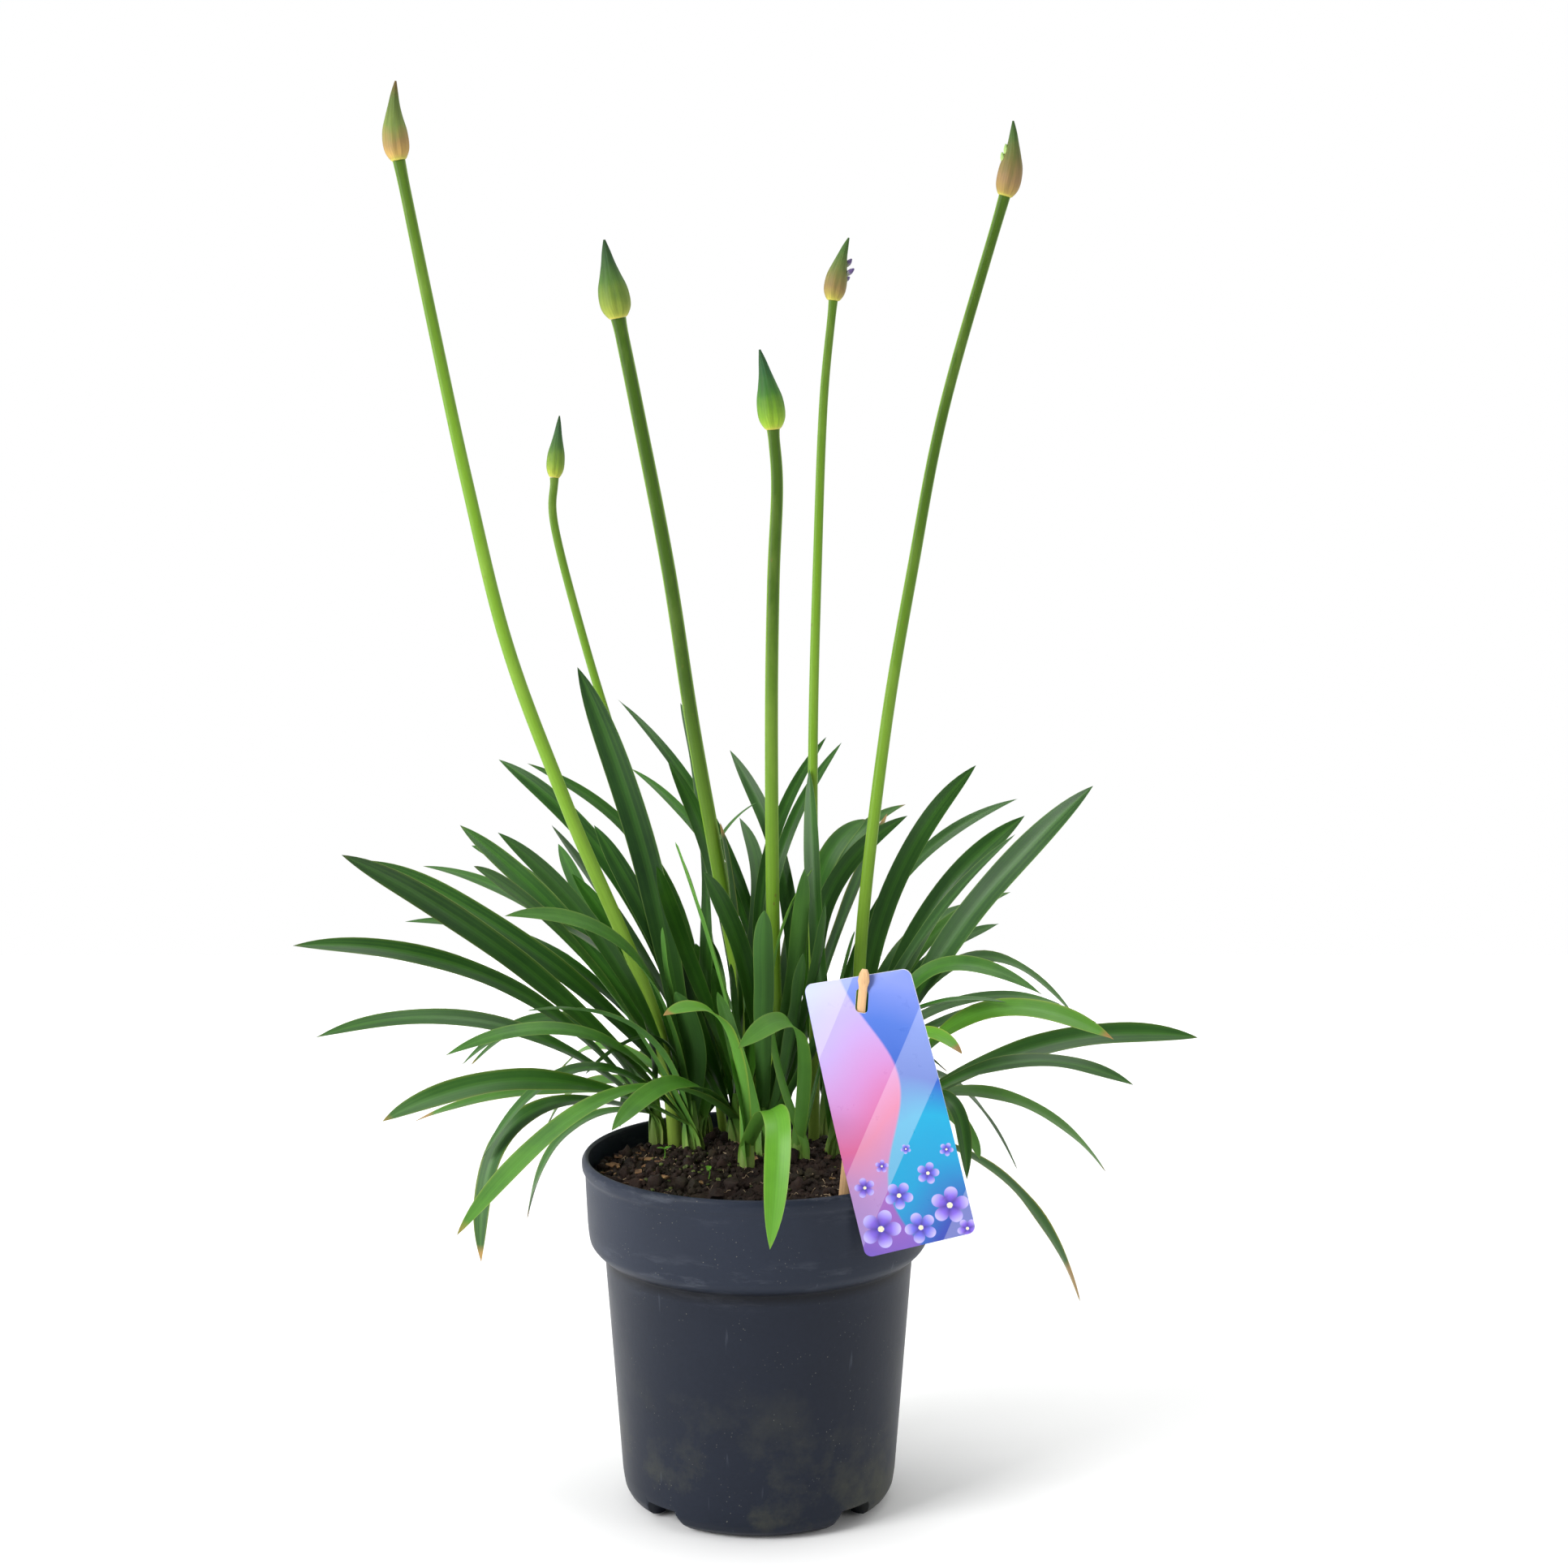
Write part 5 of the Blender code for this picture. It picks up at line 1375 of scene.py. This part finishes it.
def card_back_finish():
    """The card's plain back and cut edges: white board with a faint tint."""
    finish = Finish("card board", 0.45)
    place = finish.place()
    colour = finish.ramp(finish.noise(place, 30.0, 4.0), [(0.3, "dcdde8"), (0.7, "ecebf2")])
    fibres = finish.noise(place, 700.0, 3.0)
    return finish.surface(finish.shade(colour, fibres, 0.92, 1.05))


def bamboo_finish(settings):
    """Split bamboo: a straight fine grain with a few darker fibres."""
    finish = Finish("split bamboo", 0.62, Specular_IOR_Level=0.35)
    around, along = finish.uv()
    grain = finish.noise(finish.stretched(around, along, (70.0, 7.0)), 1.0, 5.0, 0.7)
    colour = finish.shade(tuple(settings.bamboo), grain, 0.6, 1.32)
    fibre = finish.span(finish.noise(finish.stretched(around, along, (34.0, 3.0)), 1.0, 2.0),
                        0.6, 0.75, 0.0, 0.6)
    colour = finish.mix(fibre, colour, "8d6238")
    end = finish.span(along, 0.93, 1.0, 0.0, 0.25)
    colour = finish.mix(end, colour, "e3c59a")
    return finish.surface(colour, None, finish.bump(grain, 0.0003, 0.6))


class AGAPANTHUS_OT_stage(bpy.types.Operator):
    """Lay a pale floor, hang soft lamps and set the camera"""
    bl_idname = "agapanthus.stage"
    bl_label = "Stage"

    def execute(self, context):
        settings = context.scene.agapanthus.stage
        bm = bmesh.new()
        bmesh.ops.create_grid(bm, x_segments=2, y_segments=2, size=settings.floor / MM)
        bmesh.ops.translate(bm, vec=(0, 0, FLOOR_LEVEL), verts=bm.verts)
        floor = close_mesh("floor", bm, [floor_finish()], recalculate=False)
        world = bpy.data.worlds.new("soft studio")
        world.use_nodes = True
        tree = world.node_tree
        back = tree.nodes["Background"]
        back.inputs["Color"].default_value = WHITE
        way = tree.nodes.new("ShaderNodeTexCoord").outputs["Generated"]
        split = tree.nodes.new("ShaderNodeSeparateXYZ")
        fade = tree.nodes.new("ShaderNodeMapRange")
        tree.links.new(way, split.inputs["Vector"])
        tree.links.new(split.outputs["Y"], fade.inputs["Value"])
        for name, value in BACKDROP.items():
            fade.inputs[name].default_value = value
        tree.links.new(fade.outputs["Result"], back.inputs["Strength"])
        context.scene.world = world
        context.scene.view_settings.view_transform = "Standard"
        for name, place, size, power in LAMPS:
            lamp = bpy.data.lights.new(name, "AREA")
            lamp.shape = "SQUARE"
            lamp.size = size
            lamp.energy = power * settings.light
            made = bpy.data.objects.new(name, lamp)
            made.location = place
            made.rotation_euler = (LAMP_AIM - made.location).to_track_quat("-Z", "Y").to_euler()
            context.scene.collection.objects.link(made)
        camera = bpy.data.cameras.new("camera")
        camera.lens = EYE_LENS
        camera.sensor_width = 36.0
        camera.clip_start, camera.clip_end = 0.05, 50.0
        seat = bpy.data.objects.new("camera", camera)
        seat.location = EYE * MM
        seat.rotation_euler = (math.radians(90 - EYE_PITCH), 0, 0)
        context.scene.collection.objects.link(seat)
        context.scene.camera = seat
        return {"FINISHED"}


def floor_finish():
    """A pale matt floor."""
    finish = Finish("pale floor", 0.9, Specular_IOR_Level=0.1)
    place = finish.place()
    cloud = finish.noise(place, 1.4, 3.0)
    # It brightens away from the pot until it meets the backdrop
    away = finish.add("VectorMath", {"Vector": place}, operation="LENGTH").outputs["Value"]
    finish.shader.inputs["Emission Color"].default_value = WHITE
    finish.feed(finish.shader.inputs["Emission Strength"], finish.span(away, 0.6, 1.4, 0.0, 0.5))
    return finish.surface(finish.ramp(cloud, [(0.3, "fbfbfb"), (0.7, "fdfdfd")]))


class AGAPANTHUS_PT_panel(bpy.types.Panel):
    """Lists the pieces of the potted agapanthus"""
    bl_idname = "AGAPANTHUS_PT_panel"
    bl_label = "Potted agapanthus"
    bl_space_type = "VIEW_3D"
    bl_region_type = "UI"
    bl_category = "Agapanthus"

    def draw(self, context):
        settings = context.scene.agapanthus
        for operator, group in PARTS:
            box = self.layout.box()
            box.operator(operator.bl_idname)
            chosen = getattr(settings, group)
            for name in chosen.bl_rna.properties.keys():
                if name not in ("rna_type", "name"):
                    box.prop(chosen, name)


PARTS = [
    (AGAPANTHUS_OT_pot, "pot"), (AGAPANTHUS_OT_soil, "soil"), (AGAPANTHUS_OT_leaves, "leaf"),
    (AGAPANTHUS_OT_stems, "stem"), (AGAPANTHUS_OT_buds, "stem"), (AGAPANTHUS_OT_label, "label"),
    (AGAPANTHUS_OT_stage, "stage")]
CLASSES = [PotSettings, SoilSettings, LeafSettings, StemSettings, LabelSettings, StageSettings,
           AgapanthusSettings] + [operator for operator, group in PARTS] + [AGAPANTHUS_PT_panel]


def register():
    for made in CLASSES:
        bpy.utils.register_class(made)
    bpy.types.Scene.agapanthus = PointerProperty(type=AgapanthusSettings)


def unregister():
    del bpy.types.Scene.agapanthus
    for made in reversed(CLASSES):
        bpy.utils.unregister_class(made)


def main():
    register()
    bpy.ops.agapanthus.pot()
    bpy.ops.agapanthus.soil()
    bpy.ops.agapanthus.leaves()
    bpy.ops.agapanthus.stems()
    bpy.ops.agapanthus.buds()
    bpy.ops.agapanthus.label()
    bpy.ops.agapanthus.stage()


if __name__ == "__main__":
    main()
